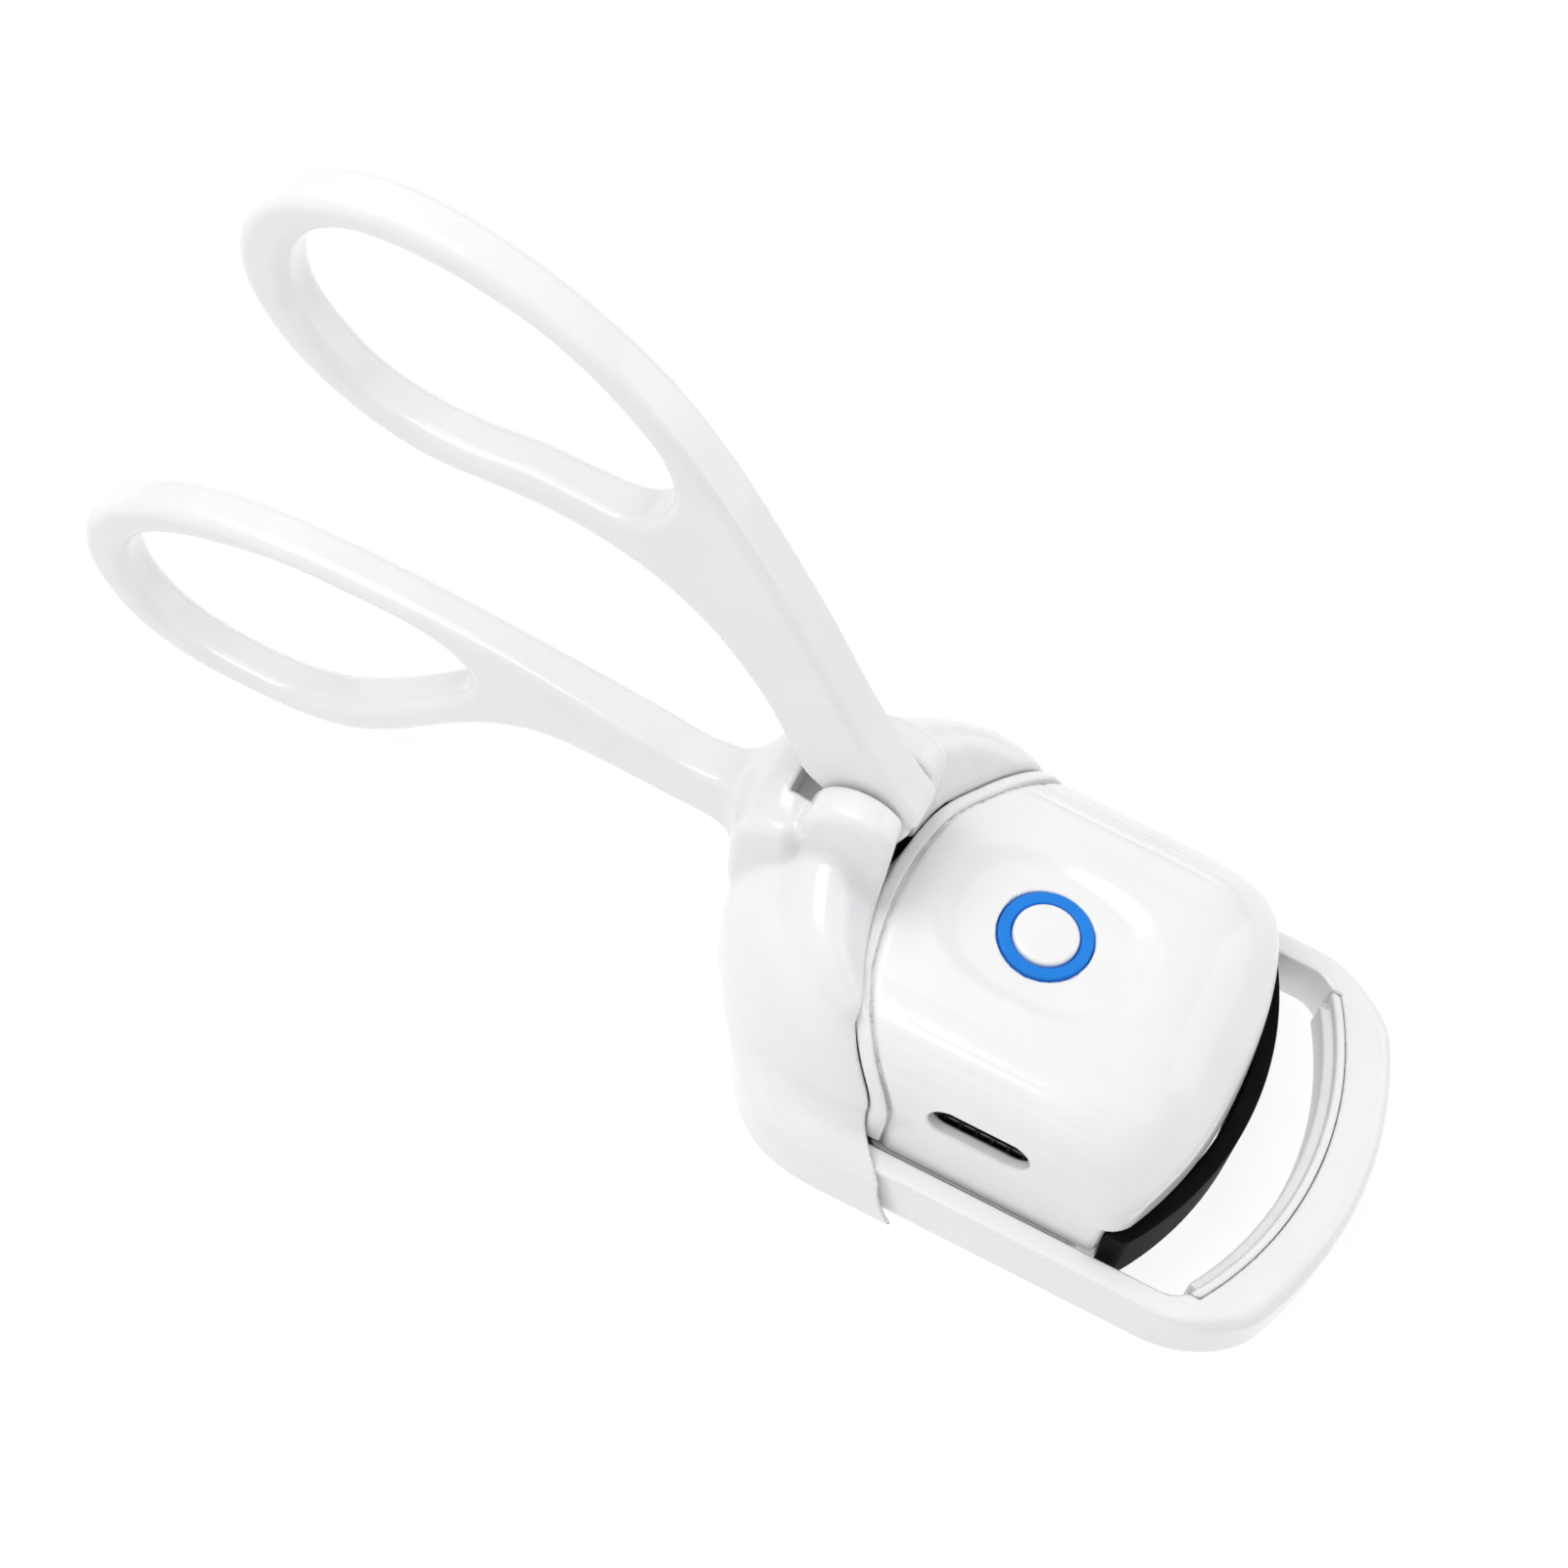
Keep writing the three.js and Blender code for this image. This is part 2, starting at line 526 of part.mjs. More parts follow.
// A coil wound along Y, swept from a round wire section.
function coil(radius, wire, coils, y0, y1, x, z) {
  const sides = 8;
  const perTurn = 14;
  const steps = coils * perTurn;
  const position = [];
  const index = [];
  const slope = (y1 - y0) / (2 * Math.PI * coils);
  for (let step = 0; step <= steps; step += 1) {
    const turn = 2 * Math.PI * step / perTurn;
    const centre = new THREE.Vector3(
      x + radius * Math.cos(turn), y0 + slope * turn, z + radius * Math.sin(turn),
    );
    const outward = new THREE.Vector3(Math.cos(turn), 0, Math.sin(turn));
    const along = new THREE.Vector3(-radius * Math.sin(turn), slope, radius * Math.cos(turn)).normalize();
    const side = new THREE.Vector3().crossVectors(along, outward);
    for (let k = 0; k < sides; k += 1) {
      const angle = 2 * Math.PI * k / sides;
      const point = centre.clone()
        .addScaledVector(outward, wire * Math.cos(angle))
        .addScaledVector(side, wire * Math.sin(angle));
      position.push(point.x, point.y, point.z);
    }
  }
  for (let step = 0; step < steps; step += 1) {
    for (let k = 0; k < sides; k += 1) {
      const a = step * sides + k;
      const b = step * sides + (k + 1) % sides;
      index.push(a, b, a + sides, b, b + sides, a + sides);
    }
  }
  const last = steps * sides;
  for (let k = 1; k < sides - 1; k += 1) {
    index.push(0, k + 1, k);
    index.push(last, last + k, last + k + 1);
  }
  const geometry = new THREE.BufferGeometry();
  geometry.setAttribute('position', new THREE.Float32BufferAttribute(position, 3));
  geometry.setIndex(index);
  geometry.computeVertexNormals();
  return geometry;
}

const spring = coil(SPRING_RADIUS, SPRING_WIRE, SPRING_COILS, -1.4, 9.2, ROD_X, ROD_Z);
add('return_spring_right', spring, STEEL);
add('return_spring_left', mirrorX(spring), STEEL);

// ---- sliding head -------------------------------------------------------
const head = new THREE.Group();
head.name = 'head_group';
group.add(head);

// Arched section of the head, drawn as (x, z).
function headSection(inset) {
  const w = HEAD_HALF_WIDTH - inset;
  const crown = CROWN_Z - inset;
  const shoulder = crown - 1.2;
  const shape = new THREE.Shape();
  shape.moveTo(w, -1);
  shape.lineTo(w, crown - 8.6);
  shape.bezierCurveTo(w, crown - 3.2, w - 2.1, shoulder - 0.1, w - 6.9, shoulder);
  shape.quadraticCurveTo(0, crown + 1.2, 6.9 - w, shoulder);
  shape.bezierCurveTo(2.1 - w, shoulder - 0.1, -w, crown - 3.2, -w, crown - 8.6);
  shape.lineTo(-w, -1);
  shape.closePath();
  return shape;
}

// The long rounded nose: a full ball in front of NOSE_Y and a plain block behind it.
function headNose(inset) {
  const nose = fullBall(
    HEAD_HALF_WIDTH + 2.6 - inset, COVER_FRONT_Y + 0.4 - NOSE_Y - inset,
    CROWN_Z + 1.2 - NOSE_Z - inset, NOSE_PLAN_FULLNESS, NOSE_HEIGHT_FULLNESS,
  );
  const front = common(moved(nose, 0, NOSE_Y, NOSE_Z), box(-30, 30, NOSE_Y, 40, NOSE_Z, 60));
  return join(
    front,
    box(-30, 30, -40, NOSE_Y + 0.01, -1, 60),
    box(-30, 30, NOSE_Y - 1, COVER_FRONT_Y + 1, -1, NOSE_Z + 0.01),
  );
}

// Plan of the head, drawn as (x, y): curved joint behind, bowed front.
function headPlan(inset, rearRadius) {
  const w = HEAD_HALF_WIDTH - inset;
  const frontRadius = COVER_FRONT_RADIUS - inset;
  const frontCentre = COVER_FRONT_Y - COVER_FRONT_RADIUS;
  const corner = w - 2.4;
  const rearAngle = Math.asin(w / rearRadius);
  const frontAngle = Math.acos(corner / frontRadius);
  const cornerY = barArc(frontRadius, frontCentre, w);
  const shape = new THREE.Shape();
  shape.absarc(0, REAR_ARC_Y, rearRadius, -Math.PI / 2 - rearAngle, -Math.PI / 2 + rearAngle, false);
  shape.lineTo(w, cornerY - 2.2);
  shape.quadraticCurveTo(w, cornerY, corner, barArc(frontRadius, frontCentre, corner));
  shape.absarc(0, frontCentre, frontRadius, frontAngle, Math.PI - frontAngle, false);
  shape.quadraticCurveTo(-w, cornerY, -w, cornerY - 2.2);
  shape.closePath();
  return shape;
}

function headBody(inset, rearRadius, z0, z1) {
  return common(
    alongY(headSection(inset), -30, 30, 10),
    headNose(inset),
    upZ(headPlan(inset, rearRadius), z0, z1, 20),
  );
}

const stripCentreY = STRIP_FRONT_Y - STRIP_RADIUS;
const heaterOuter = STRIP_RADIUS - STRIP_THICKNESS - GAP;
const heaterInner = heaterOuter - 1.2;
const dishRadius = 40;
const dish = new THREE.SphereGeometry(dishRadius, 64, 96);
dish.scale(7.4 / 9.6, 1, 1);
moved(dish, 0, 0, RING_TOP_Z - 0.2 + dishRadius);

const usbShape = new THREE.Shape();
const usbStraight = (USB_WIDTH - USB_HEIGHT) / 2;
usbShape.absarc(USB_Y + usbStraight, USB_Z, USB_HEIGHT / 2, -Math.PI / 2, Math.PI / 2, false);
usbShape.absarc(USB_Y - usbStraight, USB_Z, USB_HEIGHT / 2, Math.PI / 2, 3 * Math.PI / 2, false);
usbShape.closePath();
const usbCut = moved(acrossX(usbShape, 8, 0, 10), 16, 0, 0);
const noseRelief = common(
  box(-30, 30, 5, 40, -2, STRIP_TOP_Z + GAP),
  cut(rodZ(60, -2, 20, 0, stripCentreY, 48), rodZ(heaterInner - GAP, -3, 21, 0, stripCentreY, 72)),
);
const cheekSlot = box(2.9, 5.5, -20, -5, 14.5, 20.5);
const coverShell = cut(
  headBody(0, COVER_REAR_RADIUS, COVER_BOTTOM_Z, 40),
  headBody(COVER_WALL, COVER_REAR_RADIUS - COVER_WALL, -1, 39),
);
const dishBacking = rodZ(7.0, 19.9, 21.4, 0, 0, 40);
add('head_cover', cut(
  join(coverShell, dishBacking),
  dish,
  rodZ(RING_OUTER + GAP, 15, 30, 0, 0, 40),
  usbCut,
  noseRelief,
  cheekSlot,
  mirrorX(cheekSlot),
), GLOSS_WHITE, head);

const bandRing = cut(
  rodZ(BAND_OUTER_RADIUS, 0, 40, 0, REAR_ARC_Y, 72),
  rodZ(BAND_INNER_RADIUS, -1, 41, 0, REAR_ARC_Y, 72),
);
const bandSection = cut(alongY(headSection(0), -30, 0, 10), alongY(headSection(2.4), -31, 1, 10));
add('rear_band', cut(
  common(bandRing, bandSection, box(-30, 30, -20, 0, BAND_BOTTOM_Z, 30)),
  cheekSlot,
  mirrorX(cheekSlot),
), GLOSS_WHITE, head);

const basePocket = box(-8.2, 8.2, -8, 14, 3.4, 9);
const rodBore = join(
  rodY(ROD_RADIUS + GAP, -20, 0, ROD_X, ROD_Z),
  rodY(SPRING_RADIUS + SPRING_WIRE + GAP, -1.7, 12.5, ROD_X, ROD_Z),
);
const headBaseFront = rodZ(heaterInner - GAP, 1, 8, 0, stripCentreY, 96);
add('head_base', cut(
  common(headBody(0.2, COVER_REAR_RADIUS, 2.0, COVER_BOTTOM_Z - GAP), headBaseFront),
  basePocket,
  rodBore,
  mirrorX(rodBore),
), SATIN_WHITE, head);

add('heater_element', arcBand(
  stripCentreY, heaterInner, heaterOuter, 15.8, STRIP_BOTTOM_Z + 0.6, STRIP_TOP_Z - 0.5,
), STEEL, head);
add('heating_strip', arcBand(
  stripCentreY, heaterOuter + GAP, STRIP_RADIUS, 16.4, STRIP_BOTTOM_Z, STRIP_TOP_Z,
), BLACK_RESIN, head);

const yokeSlot = new THREE.Shape();
yokeSlot.absarc(leverFootY, leverFootZ + 0.35, DRIVE_PIN_RADIUS + GAP, 0, Math.PI, false);
yokeSlot.absarc(leverFootY, leverFootZ - 0.65, DRIVE_PIN_RADIUS + GAP, Math.PI, 2 * Math.PI, false);
yokeSlot.closePath();
const cheek = cut(
  box(3.2, 5.2, -22.3, -7.9, 14.8, 20.2),
  moved(acrossX(yokeSlot, 8, 0, 8), 4, 0, 0),
);
add('drive_yoke', join(cheek, mirrorX(cheek), box(-5.2, 5.2, -9.2, -7.9, 14.8, 18.0)), DARK_PLASTIC, head);

const boardTop = USB_Z - 2.0;
add('battery_cell', box(-12, 12, -6.2, 8.6, 7.6, boardTop - 1.7), CELL_WRAP, head);
add('circuit_board', box(-11.5, 12.0, -7.0, 9.0, boardTop - 1.2, boardTop), BOARD_GREEN, head);
const socket = cut(
  box(6.8, 13.6, USB_Y - 4.4, USB_Y + 4.4, USB_Z - 1.65, USB_Z + 1.65),
  box(7.3, 15, USB_Y - 4.0, USB_Y + 4.0, USB_Z - 1.25, USB_Z + 1.25),
);
add('usb_socket', socket, STEEL, head);
add('usb_tongue', box(7.6, 13.0, USB_Y - 3.3, USB_Y + 3.3, USB_Z - 0.35, USB_Z + 0.35), DARK_PLASTIC, head);
add('tact_switch', join(
  box(-2.1, 2.1, -2.1, 2.1, boardTop + GAP, 16.8),
  rodZ(1.2, 16.7, 17.6, 0, 0, 24),
), DARK_PLASTIC, head);
add('led_front', box(-0.8, 0.8, 3.1, 3.9, boardTop + GAP, boardTop + 1.2), SATIN_WHITE, head);
add('led_rear', box(-0.8, 0.8, -3.9, -3.1, boardTop + GAP, boardTop + 1.2), SATIN_WHITE, head);

add('light_ring', cut(
  join(rodZ(RING_OUTER, 19, RING_TOP_Z, 0, 0, 48), rodZ(5.2, 18.2, 19.6, 0, 0, 48)),
  rodZ(RING_INNER, 10, 30, 0, 0, 48),
), BLUE_LIGHT, head);

const button = new THREE.Group();
button.name = 'button_group';
head.add(button);
const capShape = new THREE.Shape();
capShape.moveTo(0, 18.3);
capShape.lineTo(BUTTON_RADIUS, 18.3);
capShape.lineTo(BUTTON_RADIUS, RING_TOP_Z + 0.1);
capShape.quadraticCurveTo(BUTTON_RADIUS, RING_TOP_Z + 0.3, BUTTON_RADIUS - 0.3, RING_TOP_Z + 0.35);
capShape.quadraticCurveTo(BUTTON_RADIUS / 2, RING_TOP_Z + 0.42, 0, RING_TOP_Z + 0.42);
const cap = new THREE.LatheGeometry(capShape.getPoints(4), 40);
cap.rotateX(Math.PI / 2);
add('power_button', cap, GLOSS_WHITE, button);

export default group;
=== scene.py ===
"""Heated eyelash curler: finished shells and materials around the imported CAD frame.

Shapes are written as distance fields in millimetres (negative inside), turned into
closed meshes and placed in the frame in metres. X runs across the head, Y forward, Z up.
"""

import bmesh
import bpy
import numpy as np
from mathutils import Matrix, Vector


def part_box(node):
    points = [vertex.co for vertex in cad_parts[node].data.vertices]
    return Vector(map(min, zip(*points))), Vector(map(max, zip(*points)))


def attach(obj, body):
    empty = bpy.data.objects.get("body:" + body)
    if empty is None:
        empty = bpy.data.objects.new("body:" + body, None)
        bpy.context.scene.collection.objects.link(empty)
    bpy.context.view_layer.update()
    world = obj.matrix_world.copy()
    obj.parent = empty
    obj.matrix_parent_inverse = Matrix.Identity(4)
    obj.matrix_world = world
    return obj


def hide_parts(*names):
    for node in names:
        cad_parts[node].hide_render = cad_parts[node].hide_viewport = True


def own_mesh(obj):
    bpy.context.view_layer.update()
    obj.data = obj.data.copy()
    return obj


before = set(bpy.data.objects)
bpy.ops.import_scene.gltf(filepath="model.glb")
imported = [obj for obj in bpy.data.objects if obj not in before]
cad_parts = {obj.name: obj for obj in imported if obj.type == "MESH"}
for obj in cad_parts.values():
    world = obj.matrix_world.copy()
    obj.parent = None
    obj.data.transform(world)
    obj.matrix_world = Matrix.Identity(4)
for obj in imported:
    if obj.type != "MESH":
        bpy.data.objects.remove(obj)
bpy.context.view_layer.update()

MM = 0.001


# ---- camera --------------------------------------------------------------
def add_camera():
    data = bpy.data.cameras.new("camera")
    data.lens = 85.0
    data.sensor_width = 36.0
    data.clip_start = 0.01
    camera = bpy.data.objects.new("camera", data)
    # A solved pose. Its columns are right, up, back and the camera's place in metres.
    camera.matrix_world = Matrix((
        (-0.4384, -0.7562, 0.4857, 0.1488),
        (0.8898, -0.4412, 0.1163, 0.0108),
        (0.1263, 0.4832, 0.8663, 0.2904),
        (0.0, 0.0, 0.0, 1.0),
    ))
    bpy.context.scene.collection.objects.link(camera)
    bpy.context.scene.camera = camera


add_camera()


# ---- sizes, in millimetres ---------------------------------------------------
def millimetres(node):
    """Lower and upper corner of a node of the frame."""
    low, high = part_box(node)
    return np.array(low) / MM, np.array(high) / MM


cover_low, cover_high = millimetres("head_cover")
strip_low, strip_high = millimetres("heating_strip")
frame_low, frame_high = millimetres("clamp_frame")
pin_low, pin_high = millimetres("pivot_pin")
drive_low, drive_high = millimetres("drive_pin")
socket_low, socket_high = millimetres("usb_socket")
ring_low, ring_high = millimetres("light_ring")
cap_low, cap_high = millimetres("power_button")
cradle_high = millimetres("rear_cradle")[1]
pad_high = millimetres("curling_pad")[1]
band_low = millimetres("rear_band")[0]
heater_high = millimetres("heater_element")[1]

# Pin centres as (y, z), half widths, heights, and radii of the arcs seen from above.
PIVOT = (pin_low[1:] + pin_high[1:]) / 2
DRIVE = (drive_low[1:] + drive_high[1:]) / 2
HANDLE_HALF = 2.2
HEAD_HALF = cover_high[0]
CROWN = 22.6
REAR_ARC_Y = 12.0
CRADLE_LIP = 25.7
HEAD_REAR = 24.1
BAR_OUTER = 35.3
BAR_INNER = 30.1
BAR_CENTRE_Y = frame_high[1] - BAR_OUTER
STRIP_OUTER = 30.1
STRIP_INNER = 28.4
STRIP_CENTRE_Y = strip_high[1] - STRIP_OUTER


# ---- distance fields -------------------------------------------------------
def round_max(a, b, radius):
    """Intersection of two fields with an edge of the given radius."""
    corner = np.hypot(np.maximum(a + radius, 0), np.maximum(b + radius, 0))
    return np.minimum(np.maximum(a, b), -radius) + corner


def soft_min(a, b, reach):
    """Union of two fields with a fillet that starts within reach of both."""
    near = np.maximum(reach - np.abs(a - b), 0) / reach
    return np.minimum(a, b) - near * near * reach / 4


def soft_max(a, b, reach):
    """Intersection of two fields with a blended edge."""
    return -soft_min(-a, -b, reach)


def carve(body, tool, radius):
    """Takes the tool out of the body, with an edge of the given radius."""
    return round_max(body, -tool, radius)


def ramp(value, start, end):
    """Smooth step from 0 at start to 1 at end."""
    t = np.clip((value - start) / (end - start), 0, 1)
    return t * t * (3 - 2 * t)


def block(p, low, high):
    """Box between two corners."""
    middle = (np.array(low) + np.array(high)) / 2
    half = (np.array(high) - np.array(low)) / 2
    return (np.abs(p - middle) - half).max(1)


def full_ball(p, sizes, plan_fullness, height_fullness):
    """A ball filled out towards a box, as a near distance."""
    x, y, z = (np.abs(p[:, k]) / sizes[k] for k in range(3))
    plan = (x ** plan_fullness + y ** plan_fullness) ** (height_fullness / plan_fullness)
    reach = (plan + z ** height_fullness) ** (1 / height_fullness)
    reach = np.maximum(reach, 1e-4)
    return np.linalg.norm(p, axis=1) * (1 - 1 / reach)


def smooth_loop(points, count=14):
    """A closed centripetal Catmull-Rom curve through the points."""
    knots = np.array(points, float)
    made = []
    for i in range(len(knots)):
        a, b, c, d = (knots[(i + k) % len(knots)] for k in (-1, 0, 1, 2))
        t1 = np.linalg.norm(b - a) ** 0.5
        t2 = t1 + np.linalg.norm(c - b) ** 0.5
        t3 = t2 + np.linalg.norm(d - c) ** 0.5
        t = np.linspace(t1, t2, count, endpoint=False)[:, None]
        ab = (t1 - t) / t1 * a + t / t1 * b
        bc = (t2 - t) / (t2 - t1) * b + (t - t1) / (t2 - t1) * c
        cd = (t3 - t) / (t3 - t2) * c + (t - t2) / (t3 - t2) * d
        abc = (t2 - t) / t2 * ab + t / t2 * bc
        bcd = (t3 - t) / (t3 - t1) * bc + (t - t1) / (t3 - t1) * cd
        made.append((t2 - t) / (t2 - t1) * abc + (t - t1) / (t2 - t1) * bcd)
    return np.concatenate(made)


def outline_distance(u, v, loops):
    """Signed distance in the plane to closed loops; a loop inside another is a hole."""
    nearest = np.full(u.shape, 1e9)
    inside = np.zeros(u.shape, bool)
    for loop in loops:
        for (au, av), (bu, bv) in zip(loop, np.roll(loop, -1, axis=0)):
            du, dv = bu - au, bv - av
            length = du * du + dv * dv + 1e-12
            share = np.clip(((u - au) * du + (v - av) * dv) / length, 0, 1)
            gap = (u - au - share * du) ** 2 + (v - av - share * dv) ** 2
            nearest = np.minimum(nearest, gap)
            if av != bv:
                crosses = ((av > v) != (bv > v)) & (u < au + du * (v - av) / dv)
                inside ^= crosses
    return np.where(inside, -1, 1) * np.sqrt(nearest)


class Outline:
    """A plane outline sampled on a fine grid, read back by bilinear lookup."""

    def __init__(self, loops, step=0.15, margin=4.0):
        every = np.concatenate(loops)
        self.low = every.min(0) - margin
        self.step = step
        count = np.ceil((every.max(0) + margin - self.low) / step).astype(int) + 1
        u = self.low[0] + step * np.arange(count[0])
        v = self.low[1] + step * np.arange(count[1])
        self.values = outline_distance(*np.meshgrid(u, v, indexing="ij"), loops)

    def __call__(self, u, v):
        limit = np.array(self.values.shape) - 1.001
        a = (u - self.low[0]) / self.step
        b = (v - self.low[1]) / self.step
        ca, cb = np.clip(a, 0, limit[0]), np.clip(b, 0, limit[1])
        i, j = ca.astype(int), cb.astype(int)
        s, t = ca - i, cb - j
        g = self.values
        value = (g[i, j] * (1 - s) + g[i + 1, j] * s) * (1 - t)
        value += (g[i, j + 1] * (1 - s) + g[i + 1, j + 1] * s) * t
        return value + np.hypot(a - ca, b - cb) * self.step


# ---- meshing -----------------------------------------------------------------
def surface_net(field, low, high, step):
    """Quads on the zero surface of a field, one vertex in each cell it passes through."""
    axes = [np.arange(a - 2 * step, b + 2.5 * step, step) for a, b in zip(low, high)]
    grid = np.stack(np.meshgrid(*axes, indexing="ij"), -1)
    shape = np.array(grid.shape[:3])
    value = field(grid.reshape(-1, 3)).reshape(shape)
    total = np.zeros(shape - 1)
    place = np.zeros((*(shape - 1), 3))
    for axis in range(3):
        others = [k for k in range(3) if k != axis]
        for corner in ((0, 0), (0, 1), (1, 0), (1, 1)):
            first, second = [None] * 3, [None] * 3
            first[axis], second[axis] = slice(0, shape[axis] - 1), slice(1, shape[axis])
            for k, offset in zip(others, corner):
                first[k] = second[k] = slice(offset, shape[k] - 1 + offset)
            a, b = value[tuple(first)], value[tuple(second)]
            crosses = (a < 0) != (b < 0)
            share = np.where(crosses, a / np.where(crosses, a - b, 1), 0)
            total += crosses
            place[..., axis] += share
            for k, offset in zip(others, corner):
                place[..., k] += crosses * offset
    active = total > 0
    number = np.full(total.shape, -1)
    number[active] = np.arange(active.sum())
    cells = np.argwhere(active)
    inside = place[active] / total[active][:, None]
    points = np.array([axis[0] for axis in axes]) + step * (cells + inside)
    quads = []
    for axis in range(3):
        b, c = (axis + 1) % 3, (axis + 2) % 3
        first, second = [slice(1, -1)] * 3, [slice(1, -1)] * 3
        first[axis], second[axis] = slice(0, -1), slice(1, None)
        here, there = value[tuple(first)] < 0, value[tuple(second)] < 0
        nodes = np.argwhere(here != there)
        leaving = here[here != there]
        nodes[:, b] += 1
        nodes[:, c] += 1
        ring = []
        for step_b, step_c in ((-1, -1), (0, -1), (0, 0), (-1, 0)):
            cell = nodes.copy()
            cell[:, b] += step_b
            cell[:, c] += step_c
            ring.append(number[cell[:, 0], cell[:, 1], cell[:, 2]])
        faces = np.stack(ring, 1)
        faces[~leaving] = faces[~leaving][:, ::-1]
        quads.append(faces)
    return points, np.concatenate(quads)


def slope_of(field, p, reach=0.04):
    """Gradient of a field by central differences."""
    slope = np.empty_like(p)
    for k in range(3):
        offset = np.zeros(3)
        offset[k] = reach
        slope[:, k] = (field(p + offset) - field(p - offset)) / (2 * reach)
    return slope


def settle(field, p, limit):
    """Moves the vertices onto the exact zero surface."""
    for _ in range(4):
        slope = slope_of(field, p)
        move = -(field(p) / np.maximum((slope ** 2).sum(1), 0.1))[:, None] * slope
        length = np.linalg.norm(move, axis=1, keepdims=True)
        p = p + move * np.minimum(1, limit / np.maximum(length, 1e-9))
    return p


def make(name, field, box, step, material, body, nodes, keep=None):
    """A closed mesh of the field in place of nodes, shaded with the field's own normals."""
    points, quads = surface_net(field, *box, step)
    points = settle(field, points, 0.5 * step)
    mesh = bpy.data.meshes.new(name)
    mesh.from_pydata(points * MM, [], quads.tolist())
    if keep:
        trim(mesh, *keep)
    co = np.empty(len(mesh.vertices) * 3)
    mesh.vertices.foreach_get("co", co)
    slope = slope_of(field, co.reshape(-1, 3) / MM)
    slope /= np.maximum(np.linalg.norm(slope, axis=1, keepdims=True), 1e-9)
    mesh.shade_smooth()
    mesh.normals_split_custom_set_from_vertices(slope.tolist())
    mesh.materials.append(material)
    piece = bpy.data.objects.new(name, mesh)
    bpy.context.scene.collection.objects.link(piece)
    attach(piece, body)
    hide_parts(*nodes)


def trim(mesh, y, side):
    """Keeps the part of a mesh behind (-1) or in front of (+1) a plane and caps it."""
    work = bmesh.new()
    work.from_mesh(mesh)
    everything = work.verts[:] + work.edges[:] + work.faces[:]
    cut = bmesh.ops.bisect_plane(
        work, geom=everything, plane_co=(0, y * MM, 0), plane_no=(0, -side, 0),
        clear_outer=True,
    )
    rim = [e for e in cut["geom_cut"] if isinstance(e, bmesh.types.BMEdge)]
    bmesh.ops.holes_fill(work, edges=rim, sides=0)
    work.to_mesh(mesh)
    work.free()


# ---- materials -----------------------------------------------------------------
for packed in list(bpy.data.materials):
    bpy.data.materials.remove(packed)


def material(
    name, light, dark, roughness, grain, relief, metallic=0.0, coat=0.0, glow=0.0,
    specular=0.5,
):
    """Moulded or machined surface: cloudy colour, uneven gloss and a fine relief.

    grain is the size of the relief in millimetres and relief its height in micrometres.
    """
    made = bpy.data.materials.new(name)
    made.use_nodes = True
    nodes, links = made.node_tree.nodes, made.node_tree.links
    shader = nodes["Principled BSDF"]
    shader.inputs["Metallic"].default_value = metallic
    shader.inputs["Coat Weight"].default_value = coat
    shader.inputs["Coat Roughness"].default_value = 0.06
    shader.inputs["Specular IOR Level"].default_value = specular
    place = nodes.new("ShaderNodeTexCoord")

    cloud = nodes.new("ShaderNodeTexNoise")
    cloud.inputs["Scale"].default_value = 160
    cloud.inputs["Detail"].default_value = 3
    links.new(place.outputs["Object"], cloud.inputs["Vector"])
    tint = nodes.new("ShaderNodeValToRGB")
    tint.color_ramp.elements[0].position = 0.3
    tint.color_ramp.elements[0].color = (*dark, 1)
    tint.color_ramp.elements[1].position = 0.7
    tint.color_ramp.elements[1].color = (*light, 1)
    links.new(cloud.outputs["Fac"], tint.inputs["Fac"])
    links.new(tint.outputs["Color"], shader.inputs["Base Color"])
    if glow:
        links.new(tint.outputs["Color"], shader.inputs["Emission Color"])
        shader.inputs["Emission Strength"].default_value = glow

    gloss = nodes.new("ShaderNodeMapRange")
    gloss.inputs["To Min"].default_value = roughness * 0.85
    gloss.inputs["To Max"].default_value = roughness * 1.15
    links.new(cloud.outputs["Fac"], gloss.inputs["Value"])
    links.new(gloss.outputs["Result"], shader.inputs["Roughness"])

    fine = nodes.new("ShaderNodeTexNoise")
    fine.inputs["Scale"].default_value = 1 / (grain * MM)
    fine.inputs["Detail"].default_value = 2
    links.new(place.outputs["Object"], fine.inputs["Vector"])
    bump = nodes.new("ShaderNodeBump")
    bump.inputs["Strength"].default_value = 0.5
    bump.inputs["Distance"].default_value = relief * MM * MM
    links.new(fine.outputs["Fac"], bump.inputs["Height"])
    links.new(bump.outputs["Normal"], shader.inputs["Normal"])
    return made


GLOSS_WHITE = material(
    "gloss_white", (0.90, 0.90, 0.90), (0.87, 0.87, 0.872),
    roughness=0.2, grain=0.5, relief=1.0, coat=0.35,
)
SATIN_WHITE = material(
    "satin_white", (0.82, 0.82, 0.81), (0.78, 0.78, 0.77),
    roughness=0.42, grain=0.2, relief=4.0,
)
SILICONE = material(
    "silicone", (0.90, 0.90, 0.89), (0.86, 0.86, 0.85),
    roughness=0.5, grain=0.3, relief=3.0,
)
BLACK_RESIN = material(
    "black_resin", (0.007, 0.007, 0.007), (0.003, 0.003, 0.003),
    roughness=0.6, grain=0.25, relief=30.0, specular=0.05,
)
BLUE_LIGHT = material(
    "blue_light", (0.016, 0.185, 0.62), (0.011, 0.155, 0.53),
    roughness=0.3, grain=0.4, relief=1.0, glow=0.28, specular=0.15,
)
STEEL = material(
    "steel", (0.70, 0.71, 0.73), (0.60, 0.61, 0.63),
    roughness=0.28, grain=0.12, relief=3.0, metallic=1.0,
)
